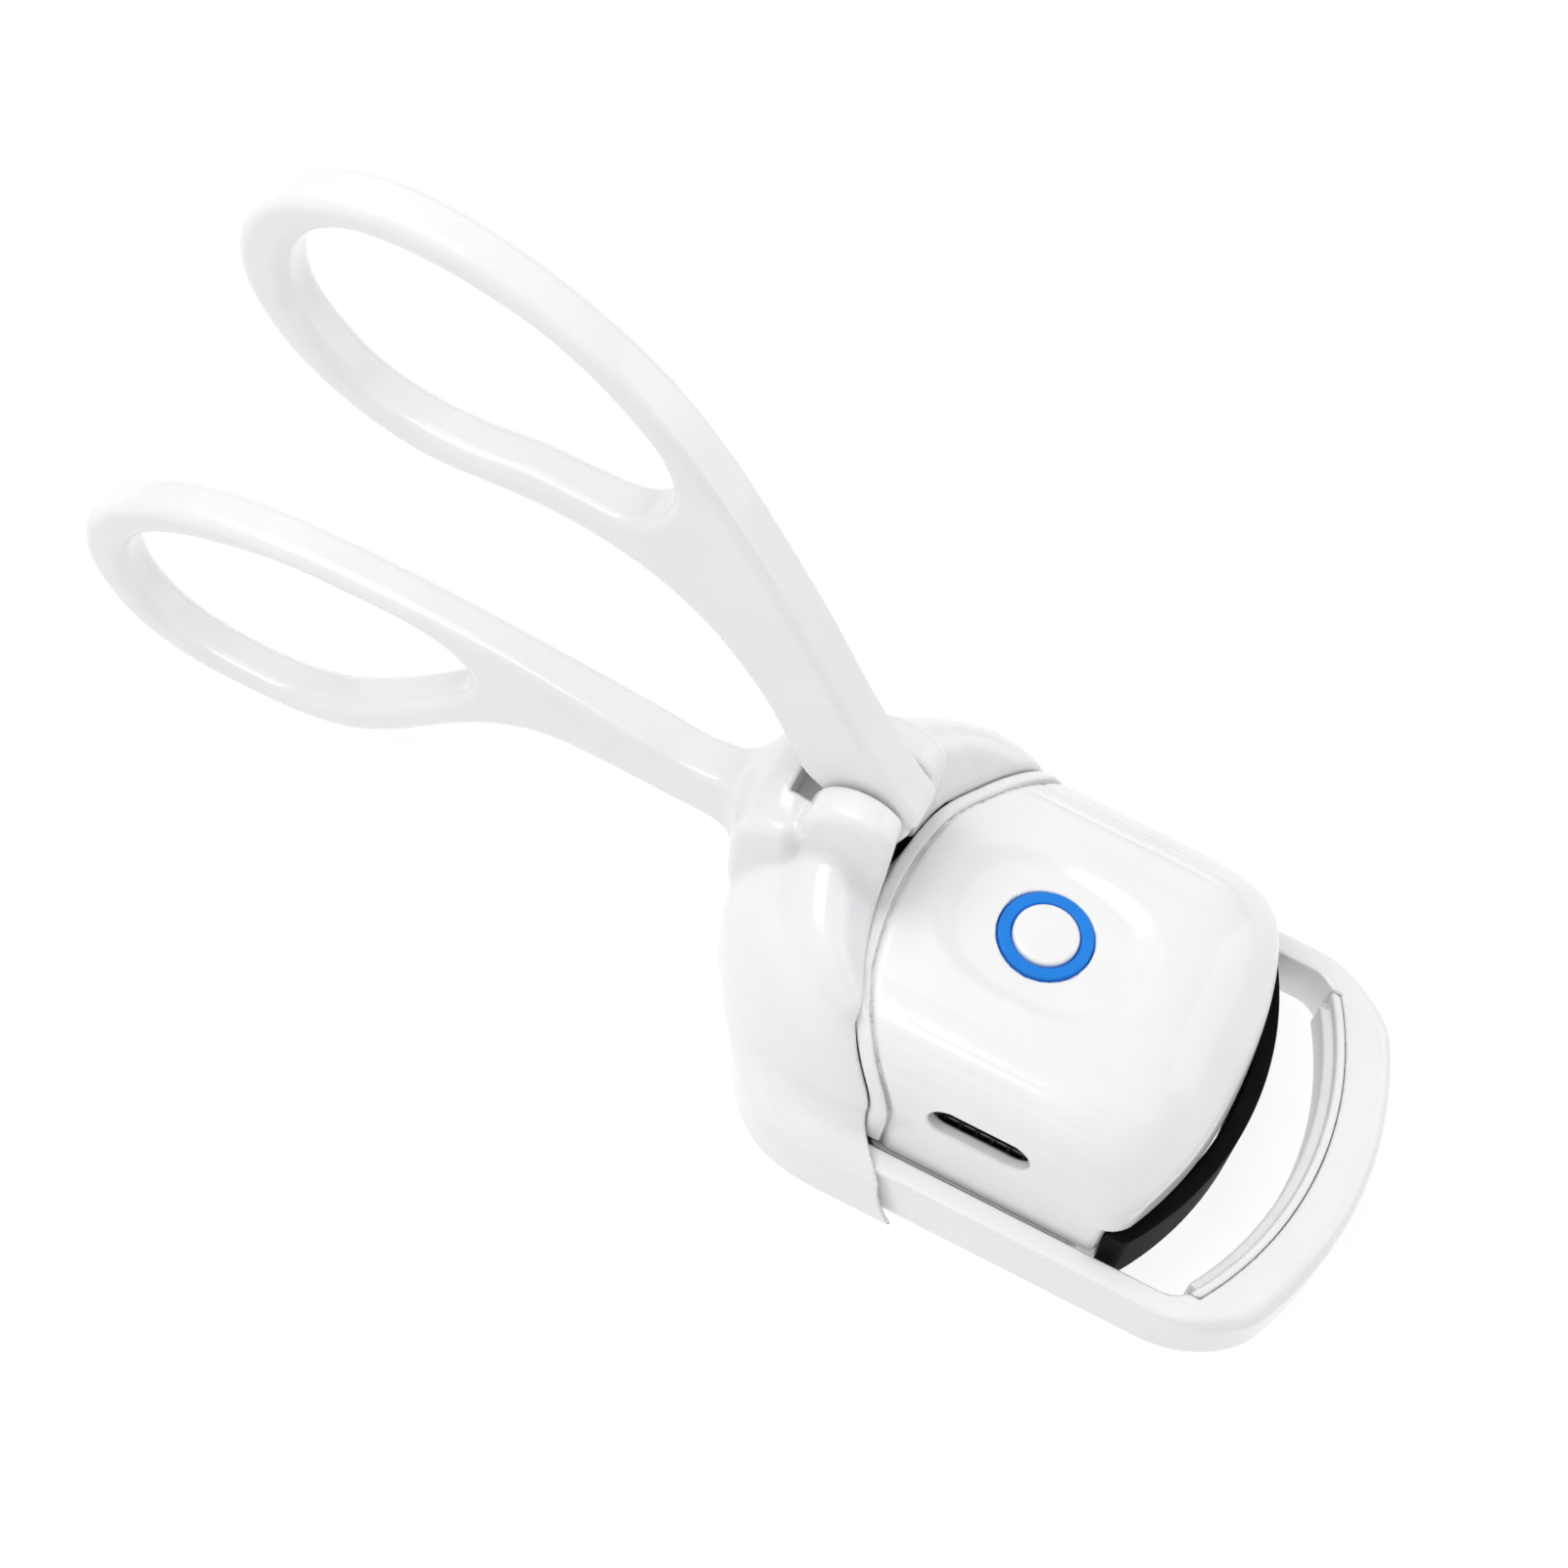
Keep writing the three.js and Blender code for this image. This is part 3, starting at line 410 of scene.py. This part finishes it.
BRASS = material(
    "brass", (0.79, 0.60, 0.29), (0.70, 0.52, 0.24),
    roughness=0.3, grain=0.12, relief=3.0, metallic=1.0,
)
DARK_PLASTIC = material(
    "dark_plastic", (0.03, 0.031, 0.033), (0.02, 0.021, 0.023),
    roughness=0.45, grain=0.2, relief=6.0,
)
BOARD_GREEN = material(
    "board_green", (0.02, 0.16, 0.06), (0.012, 0.11, 0.045),
    roughness=0.35, grain=0.6, relief=8.0,
)
CELL_WRAP = material(
    "cell_wrap", (0.08, 0.17, 0.28), (0.06, 0.13, 0.23),
    roughness=0.35, grain=0.8, relief=6.0,
)


# ---- finger loops ------------------------------------------------------------
# Outlines as (y, z) points. They are point lists, not arcs.
UPPER_OUTLINE = [
    (-12.8, 31.5), (-14.9, 34.6), (-19.3, 40.4), (-24.8, 48.9), (-30.0, 56.2), (-35.5, 63.2),
    (-41.0, 68.7), (-46.5, 72.4), (-52.5, 75.1), (-58.5, 76.5), (-64.5, 76.6), (-69.5, 74.9),
    (-73.4, 71.9), (-75.6, 66.6), (-75.2, 61.7), (-73.4, 58.0), (-70.6, 54.7), (-66.5, 51.9),
    (-62.0, 50.1), (-57.5, 49.5), (-52.0, 50.1), (-47.0, 50.4), (-42.5, 49.9), (-38.0, 48.5),
    (-34.0, 46.1), (-30.5, 42.8), (-27.5, 39.1), (-25.0, 35.1), (-22.6, 31.4), (-17.7, 29.8),
]
UPPER_HOLE = [
    (-38.2, 60.0), (-39.6, 63.8), (-42.8, 67.0), (-46.4, 69.6), (-50.5, 71.7), (-54.6, 72.9),
    (-58.7, 73.6), (-62.7, 73.6), (-66.0, 72.9), (-69.0, 70.8), (-70.9, 67.4), (-71.3, 63.4),
    (-70.3, 59.8), (-67.6, 56.4), (-64.1, 53.9), (-59.5, 52.8), (-55.0, 52.9), (-50.6, 53.7),
    (-45.8, 53.7), (-42.0, 54.0), (-39.4, 55.9),
]
LOWER_OUTLINE = [
    (-23.6, 28.6), (-27.6, 24.9), (-32.0, 23.6), (-37.0, 24.2), (-44.5, 25.2), (-53.5, 26.1),
    (-63.0, 26.4), (-72.3, 26.0), (-78.5, 24.8), (-84.2, 22.5), (-88.3, 19.3), (-90.9, 14.8),
    (-90.9, 9.8), (-89.2, 6.2), (-86.1, 2.8), (-81.5, 0.7), (-75.5, 0.1), (-69.0, 0.5),
    (-64.0, 2.1), (-59.5, 5.6), (-54.5, 11.0), (-50.0, 15.0), (-45.5, 17.4), (-40.5, 18.0),
    (-34.0, 17.9), (-29.0, 17.6), (-23.6, 15.6), (-22.0, 22.0),
]
LOWER_HOLE = [
    (-53.3, 20.6), (-55.2, 22.8), (-58.8, 23.9), (-65.3, 24.0), (-71.0, 23.6), (-76.5, 22.1),
    (-81.5, 19.9), (-84.8, 17.3), (-86.8, 13.6), (-86.6, 9.3), (-84.3, 5.6), (-80.5, 3.3),
    (-75.0, 2.6), (-69.7, 3.3), (-65.2, 5.6), (-60.6, 9.6), (-56.6, 14.0), (-53.9, 17.4),
]

BUSH_HOLE = 2.35
DRIVE_HOLE = 1.3
LEVER_TOP = 3.9
LEVER_TAPER = 1.4

upper_plane = Outline([smooth_loop(UPPER_OUTLINE), smooth_loop(UPPER_HOLE)])
lower_plane = Outline([smooth_loop(LOWER_OUTLINE), smooth_loop(LOWER_HOLE)])


def lever_plane(y, z):
    """The arm that hangs below the pivot, tapering to the drive pin."""
    along = DRIVE - PIVOT
    share = ((y - PIVOT[0]) * along[0] + (z - PIVOT[1]) * along[1]) / (along @ along)
    share = np.clip(share, 0, 1)
    reach = np.hypot(y - PIVOT[0] - share * along[0], z - PIVOT[1] - share * along[1])
    return reach - (LEVER_TOP - LEVER_TAPER * share)


def handle_rounding(y):
    """Softly rounded round the finger loops, crisper towards the pivot."""
    return 1.35 - 0.6 * ramp(y, -52, -34)


def upper_handle(p):
    """Upper loop, its arm and the lever below the pivot."""
    y, z = p[:, 1], p[:, 2]
    plane = soft_min(upper_plane(y, z), lever_plane(y, z), 1.0)
    bush_hole = np.hypot(y - PIVOT[0], z - PIVOT[1]) - BUSH_HOLE
    pin_hole = np.hypot(y - DRIVE[0], z - DRIVE[1]) - DRIVE_HOLE
    bar = round_max(plane, np.abs(p[:, 0]) - HANDLE_HALF, handle_rounding(y))
    return carve(carve(bar, bush_hole, 0.2), pin_hole, 0.2)


def lower_bar(p):
    """Lower loop and its arm, which runs into the cradle."""
    plane = lower_plane(p[:, 1], p[:, 2])
    return round_max(plane, np.abs(p[:, 0]) - HANDLE_HALF, handle_rounding(p[:, 1]))


# ---- arched section shared by the head, its rear band and the cradle's lip -------
def head_section():
    """Arched section of the head, drawn as (x, z)."""
    w, shoulder = HEAD_HALF, CROWN - 1.2
    t = np.linspace(0, 1, 24)[:, None]
    side = np.array((
        (w, CROWN - 8.6), (w, CROWN - 3.2), (w - 2.1, shoulder - 0.1), (w - 6.9, shoulder),
    ))
    curve = (1 - t) ** 3 * side[0] + 3 * t * (1 - t) ** 2 * side[1]
    curve = curve + 3 * t ** 2 * (1 - t) * side[2] + t ** 3 * side[3]
    top = np.array(((w - 6.9, shoulder), (0, CROWN + 1.2), (6.9 - w, shoulder)))
    crown = (1 - t) ** 2 * top[0] + 2 * t * (1 - t) * top[1] + t ** 2 * top[2]
    left = curve[::-1] * (-1, 1)
    return np.concatenate((((w, -6.0),), curve, crown[1:-1], left, ((-w, -6.0),)))


section_plane = Outline([head_section()], step=0.1, margin=8.0)


def rear_reach(x, y, z):
    """Distance from the rear parting arc's axis, with the arc bowed differently on each side."""
    bow = 0.8 - 2.1 * ramp(z, 11, 20.5) + 1.0 * ramp(z, 20.5, 22.6)
    bow = bow * ramp(x, -5, 5) + 1.3 * ramp(-x, 5, 15)
    return np.hypot(x, y - REAR_ARC_Y - bow)


# ---- rear cradle ---------------------------------------------------------------
DOME = np.array((0.0, -8.0, 12.8))
DOME_SIZE = np.array((17.3, 18.4, 17.3))
SKIRT_SIZE = np.array((cradle_high[0], 13.75, 1.0))
TOWER_HALF = 5.7
EAR_RADIUS = 4.3
WALL = 1.6
SHOULDER_SLOPE = 1.3
NECK_Y = -27.2
SKIRT_TOP = 7.8
LIP_FOOT_Z = 6.8
PIN_BORE = 1.5
ARM_POCKET = (-19.6, frame_low[1] - 0.3, -4.0), (19.6, 8.0, 7.1)
HANDLE_SLOT = (-2.5, -21.5, 9.0), (2.5, -2.0, 45.0)
HANDLE_RECESS = (-2.5, -23.6, 24.6), (2.5, -20.0, 45.0)
YOKE_SWEEP = (-7.4, -22.6, 12.0), (7.4, -2.0, 21.6)


def arc(centre, radius, start, end, count=24):
    """Points on an arc between two angles."""
    angle = np.linspace(start, end, count)
    return [(centre[0] + radius * np.cos(a), centre[1] + radius * np.sin(a)) for a in angle]


TOWER_OUTLINE = [
    (-12.7, 14.0), (-24.8, 14.0), (-24.8, 27.4), (-22.2, 28.2),
    *arc(PIVOT, EAR_RADIUS, 1.05 * np.pi, -0.1),
]
PLATE_OUTLINE = [
    (-25.6, 16.5), (-21.6, 18.0), (-21.6, 28.2), (-22.4, 28.9),
    (-23.6, 28.7), (-25.6, 27.6), (-26.6, 26.0), (-26.7, 22.0),
]
tower_plane = Outline([np.array(TOWER_OUTLINE)])
plate_plane = Outline([smooth_loop(PLATE_OUTLINE)])


def dome(p, inset=0.0):
    """Rear dome, carried on straight forward of its centre."""
    q = p - DOME
    q[:, 1] = np.minimum(q[:, 1], 0)
    return full_ball(q, DOME_SIZE - inset, 2.4, 2.4)


def skirt_plan(p, inset=0.0):
    """Plan of the flared skirt, the same at every height."""
    q = p - DOME
    q[:, 1] = np.minimum(q[:, 1], 0)
    q[:, 2] = 0
    return full_ball(q, SKIRT_SIZE - np.array((inset, inset, 0)), 2.6, 2.6)


def rear_shell(p):
    """Dome, flared skirt, ear tower and the lower loop's neck in one moulding."""
    x, y, z = p.T
    skirt = round_max(skirt_plan(p), z - SKIRT_TOP, 2.4)
    tower = round_max(tower_plane(y, z), np.abs(x) - TOWER_HALF, 1.1)
    plate = round_max(plate_plane(y, z), np.abs(x) - TOWER_HALF - 0.9, 1.2)
    behind = rear_reach(x, y, z) - CRADLE_LIP
    slope = (section_plane(x, z) - 0.9 - SHOULDER_SLOPE * behind) / np.hypot(1, SHOULDER_SLOPE)
    shell = soft_min(soft_max(dome(p), slope, 2.5), skirt, 3.5)
    shell = soft_min(soft_min(shell, tower, 0.9), plate, 0.7)
    shell = soft_min(shell, lower_bar(p), 3.5)

    hollow = np.maximum(np.maximum(dome(p, WALL), slope + WALL), 1.7 - z)
    below = np.maximum(skirt_plan(p, 2.2), z - 6.0)
    arms = np.maximum(block(p, *ARM_POCKET), shell + 0.6)
    shell = carve(shell, np.minimum(np.minimum(hollow, below), arms), 0.3)
    shell = round_max(shell, 0.1 - z, 0.5)

    swing = 0.05 * np.maximum(LIP_FOOT_Z - z, 0) ** 2
    lip = rear_reach(x, y - swing, z) - CRADLE_LIP
    lip = np.maximum(lip, np.minimum(LIP_FOOT_Z - z, 17.4 - np.abs(x)))
    shell = carve(shell, lip, 0.3)
    shell = round_max(shell, y + 3.1 - swing, 0.5)

    handle_slot = np.minimum(block(p, *HANDLE_SLOT), block(p, *HANDLE_RECESS))
    pin_bore = np.hypot(y - PIVOT[0], z - PIVOT[1]) - PIN_BORE
    pin_bore = np.maximum(pin_bore, x - pin_high[0] - 0.2)
    shell = carve(shell, handle_slot, 0.4)
    return carve(carve(shell, block(p, *YOKE_SWEEP), 0.3), pin_bore, 0.2)


# ---- clamp frame -----------------------------------------------------------------
ARM_INNER_HALF = 17.12
PAD_MIDDLE_Z = 3.85


def clamp_frame(p):
    """The two side arms and the curved bar, with seats for the pad."""
    x, y, z = np.abs(p[:, 0]), p[:, 1], p[:, 2]
    reach = np.hypot(x, y - BAR_CENTRE_Y)
    outer = round_max(x - frame_high[0], reach - BAR_OUTER, 5.0)
    opening = round_max(x - ARM_INNER_HALF, reach - BAR_INNER, 1.2)
    softness = 0.45 + 1.1 * ramp(y, 21, 28)
    bar = round_max(outer, z - frame_high[2], softness)
    bar = round_max(bar, frame_low[2] - z, 0.45)
    bar = round_max(carve(bar, opening, 0.35), frame_low[1] - y, 0.4)
    pad_seat = np.maximum(np.maximum(reach - 31.6, x - 15.3), np.abs(z - PAD_MIDDLE_Z) - 2.05)
    rib_seat = np.maximum(np.maximum(reach - 31.05, x - 16.2), 4.0 - z)
    return carve(bar, np.minimum(pad_seat, rib_seat), 0.2)


def curling_pad(p):
    """Silicone pad with a rib that stands along the inner edge of the bar."""
    x, y, z = np.abs(p[:, 0]), p[:, 1], p[:, 2]
    reach = np.hypot(x, y - BAR_CENTRE_Y)
    foot = round_max(reach - 31.3, 29.2 - reach, 0.3)
    foot = round_max(foot, np.abs(z - PAD_MIDDLE_Z) - 1.75, 0.3)
    foot = round_max(foot, x - pad_high[0], 0.4)
    rib = round_max(round_max(reach - 30.97, 30.15 - reach, 0.3), np.abs(z - 5.4) - 1.35, 0.3)
    return soft_min(foot, round_max(rib, x - 16.1, 0.4), 0.3)


# ---- sliding head ----------------------------------------------------------------
HEAD_WALL = 1.5
NOSE_RADIUS = 36.1
DISH_HALF = 7.5, 9.8
DISH_FULLNESS = 2.5
DISH_DEPTH = 0.82
CREASE_WIDTH = 0.25
CREASE_DEPTH_FAR = 0.24
CREASE_DEPTH_NEAR = 0.05
INLET_STRAIGHT_HALF = 2.85
INLET_RADIUS = 1.75
STRIP_HALF_HEIGHT = 3.85
YOKE_CHEEK = (2.9, -20, 14.5), (5.5, -5, 20.5)


def yoke_cheeks(p):
    """Room for the two cheeks of the yoke at the head's rear edge."""
    return block(np.stack((np.abs(p[:, 0]), p[:, 1], p[:, 2]), 1), *YOKE_CHEEK)


def head_form(p, inset=0.0, rear_inset=0.0):
    """The head's arched form with its nose, and the fields that end it in front and behind."""
    x, y, z = p.T
    section = section_plane(x, z) + inset
    q = np.stack((x, np.maximum(y - 3.0, 0), np.maximum(z - 8.0, 0)), 1)
    nose = full_ball(q, np.array((HEAD_HALF + 2.6, 17.5, 15.8)) - inset, 3.6, 2.5)
    front = np.hypot(x, y - cover_high[1] - 0.1 + NOSE_RADIUS) - NOSE_RADIUS + inset
    front = round_max(front, np.abs(x) - HEAD_HALF + inset, 1.0 + 1.6 * ramp(z, 8, 13))
    rear = rear_reach(x, y, z) - HEAD_REAR + rear_inset
    return soft_max(section, nose, 1.2), front, rear


def head_cover(p):
    """Hollow cover with a dish round the button, creases, inlet slot and room for the strip."""
    x, y, z = p.T
    form, front, rear = head_form(p)
    across = np.abs(x)
    top_side = ramp(z, 13, 16)
    dish = (across / DISH_HALF[0]) ** DISH_FULLNESS + (np.abs(y) / DISH_HALF[1]) ** DISH_FULLNESS
    dish = dish ** (1 / DISH_FULLNESS)
    along = ramp(y, -7.5, -5.5) * ramp(y, 12.0, 9.5)
    crease = np.exp(-((across - 12.3) / CREASE_WIDTH) ** 2)
    crease = crease + 0.8 * np.exp(-((across - 14.0) / CREASE_WIDTH) ** 2)
    crease = crease * np.where(x < 0, CREASE_DEPTH_FAR, CREASE_DEPTH_NEAR)
    form = form + top_side * (DISH_DEPTH * ramp(dish, 1.02, 0.74) + crease * along)
    body = soft_max(form, front, 0.8)
    body = np.minimum(round_max(body, rear, 0.4), np.maximum(body + 0.5, rear - 0.35))
    body = round_max(body, cover_low[2] - z, 0.3)

    form, front, rear = head_form(p, HEAD_WALL, HEAD_WALL)
    hollow = np.maximum(np.maximum(form, front), rear)
    backing = np.maximum(np.hypot(x, y) - 7.0, np.abs(z - 20.6) - 0.7)
    body = carve(body, np.maximum(hollow, -backing), 0.2)

    ring_hole = np.maximum(np.hypot(x, y) - 4.2, 15 - z)
    middle = (socket_low + socket_high) / 2
    beyond = np.maximum(np.abs(y - middle[1]) - INLET_STRAIGHT_HALF, 0)
    slot = np.maximum(np.hypot(beyond, z - middle[2]) - INLET_RADIUS, 10 - x)
    strip_reach = np.hypot(x, y - STRIP_CENTRE_Y)
    heater_room = np.maximum(26.6 - strip_reach, across - heater_high[0] - 0.2)
    strip_room = np.minimum(heater_room, 28.25 - strip_reach)
    strip_room = np.maximum(strip_room, np.maximum(z - 10.6, 5 - y))
    body = carve(body, ring_hole, 0.15)
    body = carve(body, slot, 0.3)
    body = carve(body, strip_room, 0.3)
    return carve(body, yoke_cheeks(p), 0.2)


def rear_band(p):
    """Thin band at the rear edge of the cover."""
    x, y, z = p.T
    reach = rear_reach(x, y, z)
    section = section_plane(x, z)
    ring = round_max(reach - 25.6, 24.4 - reach, 0.35)
    band = round_max(round_max(ring, section, 0.35), -2.4 - section, 0.2)
    band = round_max(band, band_low[2] - z, 0.2)
    return carve(np.maximum(band, y), yoke_cheeks(p), 0.2)


def heating_strip(p):
    """Curved strip at the front of the head."""
    x, y, z = np.abs(p[:, 0]), p[:, 1], p[:, 2]
    reach = np.hypot(x, y - STRIP_CENTRE_Y)
    strip = round_max(reach - STRIP_OUTER, STRIP_INNER - reach, 0.3)
    strip_half = np.abs(z - (strip_low[2] + strip_high[2]) / 2) - STRIP_HALF_HEIGHT
    strip = round_max(strip, strip_half, 0.3)
    return round_max(strip, x - strip_high[0], 0.4)


RING_OUTER = 4.05
RING_INNER = 3.0
FLANGE_RADIUS = 5.2
FLANGE_TOP = 19.6
CAP_GROWTH = 0.2


def light_ring(p):
    """Ring round the button, with a flange under the cover."""
    reach, z = np.hypot(p[:, 0], p[:, 1]), p[:, 2]
    tube = round_max(reach - RING_OUTER, RING_INNER - reach, 0.1)
    tube = round_max(tube, z - ring_high[2], 0.1)
    flange = round_max(reach - FLANGE_RADIUS, z - FLANGE_TOP, 0.15)
    tube = np.minimum(tube, np.maximum(flange, RING_INNER - reach))
    return np.maximum(tube, ring_low[2] - z)


def power_button(p):
    """Button cap with a slightly domed top."""
    reach, z = np.hypot(p[:, 0], p[:, 1]), p[:, 2]
    crown = z - cap_high[2] + 0.02 * reach ** 2
    cap = round_max(reach - cap_high[0] - CAP_GROWTH, crown, 0.3)
    return round_max(cap, cap_low[2] - z, 0.2)


# ---- pieces ----------------------------------------------------------------------
def around(node, margin=1.0):
    """A node's box with a margin."""
    low, high = millimetres(node)
    return low - margin, high + margin


# Each piece: name, field, box, mesh step in millimetres, material, body, replaced nodes, and
# the plane and side that it is cut to where two pieces share one field.
make(
    "upper_loop", upper_handle, around("upper_handle"),
    0.36, GLOSS_WHITE, "upper_handle", ["upper_handle"],
)
loop_low, loop_high = around("lower_handle")
make(
    "lower_loop", rear_shell, (loop_low - (3, 0, 0), np.array((6.0, NECK_Y + 1.2, loop_high[2]))),
    0.36, GLOSS_WHITE, "frame", ["lower_handle"], (NECK_Y, -1),
)
make(
    "cradle", rear_shell, (np.array((-21.0, NECK_Y - 1.2, -0.5)), np.array((21.0, 1.0, 35.0))),
    0.36, GLOSS_WHITE, "frame", ["rear_cradle"], (NECK_Y, 1),
)
make("clamp_bar", clamp_frame, around("clamp_frame"), 0.3, GLOSS_WHITE, "frame", ["clamp_frame"])
make("pad", curling_pad, around("curling_pad", 1.8), 0.2, SILICONE, "frame", ["curling_pad"])
make("cover", head_cover, around("head_cover"), 0.26, GLOSS_WHITE, "head", ["head_cover"])
make("band", rear_band, around("rear_band"), 0.24, GLOSS_WHITE, "head", ["rear_band"])
make("strip", heating_strip, around("heating_strip"), 0.22, BLACK_RESIN, "head", ["heating_strip"])
make("ring", light_ring, around("light_ring"), 0.16, BLUE_LIGHT, "head", ["light_ring"])
make("button", power_button, around("power_button"), 0.16, GLOSS_WHITE, "button", ["power_button"])


def return_spring(name, node, turns=7, wire=0.25):
    """Helical spring round a guide rod."""
    low, high = millimetres(node)
    middle = (low + high) / 2
    coil_radius = (high[0] - low[0]) / 2 - wire
    steps, sides = 30 * turns, 8
    mesh = bpy.data.meshes.new(name)
    work = bmesh.new()
    rings = []
    for k in range(steps + 1):
        angle = 2 * np.pi * turns * k / steps
        outward = np.array((np.cos(angle), 0, np.sin(angle)))
        along = low[1] + wire + (high[1] - low[1] - 2 * wire) * k / steps
        centre = np.array((middle[0], along, middle[2])) + coil_radius * outward
        ring = []
        for m in range(sides):
            turn = 2 * np.pi * m / sides
            corner = centre + wire * (np.cos(turn) * outward + np.sin(turn) * np.array((0, 1, 0)))
            ring.append(work.verts.new(corner * MM))
        rings.append(ring)
    for first, second in zip(rings, rings[1:]):
        for m in range(sides):
            n = (m + 1) % sides
            work.faces.new((first[m], first[n], second[n], second[m]))
    work.faces.new(rings[0])
    work.faces.new(rings[-1])
    bmesh.ops.recalc_face_normals(work, faces=work.faces)
    work.to_mesh(mesh)
    work.free()
    mesh.shade_smooth()
    mesh.materials.append(STEEL)
    piece = bpy.data.objects.new(name, mesh)
    bpy.context.scene.collection.objects.link(piece)
    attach(piece, "frame")
    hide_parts(node)
    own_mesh(piece)


return_spring("spring_right", "return_spring_right")
return_spring("spring_left", "return_spring_left")

FINISHES = {
    STEEL: [
        "drive_pin", "pivot_pin", "base_screw_1", "base_screw_2", "base_screw_3", "base_screw_4",
        "guide_rod_right", "guide_rod_left", "heater_element", "usb_socket",
    ],
    BRASS: ["pivot_bush"],
    SATIN_WHITE: ["base_plate", "head_base", "led_front", "led_rear"],
    DARK_PLASTIC: ["drive_yoke", "usb_tongue", "tact_switch"],
    BOARD_GREEN: ["circuit_board"],
    CELL_WRAP: ["battery_cell"],
}
for finish, names in FINISHES.items():
    for name in names:
        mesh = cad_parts[name].data
        mesh.materials.clear()
        mesh.materials.append(finish)


# ---- floor, light and sky --------------------------------------------------------
FLOOR_HALF = 3.0


def add_floor():
    mesh = bpy.data.meshes.new("floor")
    corners = [(x * FLOOR_HALF, y * FLOOR_HALF, 0) for x, y in ((-1, -1), (1, -1), (1, 1), (-1, 1))]
    mesh.from_pydata(corners, [], [(0, 1, 2, 3)])
    mesh.materials.append(material(
        "floor", (0.20, 0.20, 0.20), (0.195, 0.195, 0.195),
        roughness=0.7, grain=3.0, relief=2.0, glow=4.3, specular=0.1,
    ))
    floor = bpy.data.objects.new("floor", mesh)
    bpy.context.scene.collection.objects.link(floor)


def add_softbox(name, place, target, size, power):
    """Square light aimed at a target, in metres and watts."""
    data = bpy.data.lights.new(name, "AREA")
    data.shape = "RECTANGLE"
    data.size, data.size_y = size
    data.energy = power
    light = bpy.data.objects.new(name, data)
    light.location = place
    light.rotation_mode = "QUATERNION"
    light.rotation_quaternion = (Vector(target) - Vector(place)).to_track_quat("-Z", "Y")
    bpy.context.scene.collection.objects.link(light)


def add_sky():
    """Plain sky, brighter overhead."""
    world = bpy.data.worlds.new("studio")
    world.use_nodes = True
    nodes, links = world.node_tree.nodes, world.node_tree.links
    background = nodes["Background"]
    place = nodes.new("ShaderNodeTexCoord")
    split = nodes.new("ShaderNodeSeparateXYZ")
    links.new(place.outputs["Generated"], split.inputs["Vector"])
    ramp_node = nodes.new("ShaderNodeValToRGB")
    ramp_node.color_ramp.elements[0].color = (0.62, 0.62, 0.62, 1)
    ramp_node.color_ramp.elements[1].color = (1.0, 1.0, 1.0, 1)
    ramp_node.color_ramp.elements[1].position = 0.8
    links.new(split.outputs["Z"], ramp_node.inputs["Fac"])
    links.new(ramp_node.outputs["Color"], background.inputs["Color"])
    background.inputs["Strength"].default_value = 0.65
    bpy.context.scene.world = world


add_floor()
add_sky()
add_softbox(
    "key_softbox", place=(0.08, -0.28, 0.66), target=(0, -0.02, 0.02), size=(0.5, 0.5), power=2.7,
)
add_softbox(
    "fill_softbox", place=(-0.35, 0.45, 0.22), target=(0, -0.01, 0.01), size=(0.4, 0.4), power=0.5,
)
bpy.context.scene.view_settings.view_transform = "Standard"
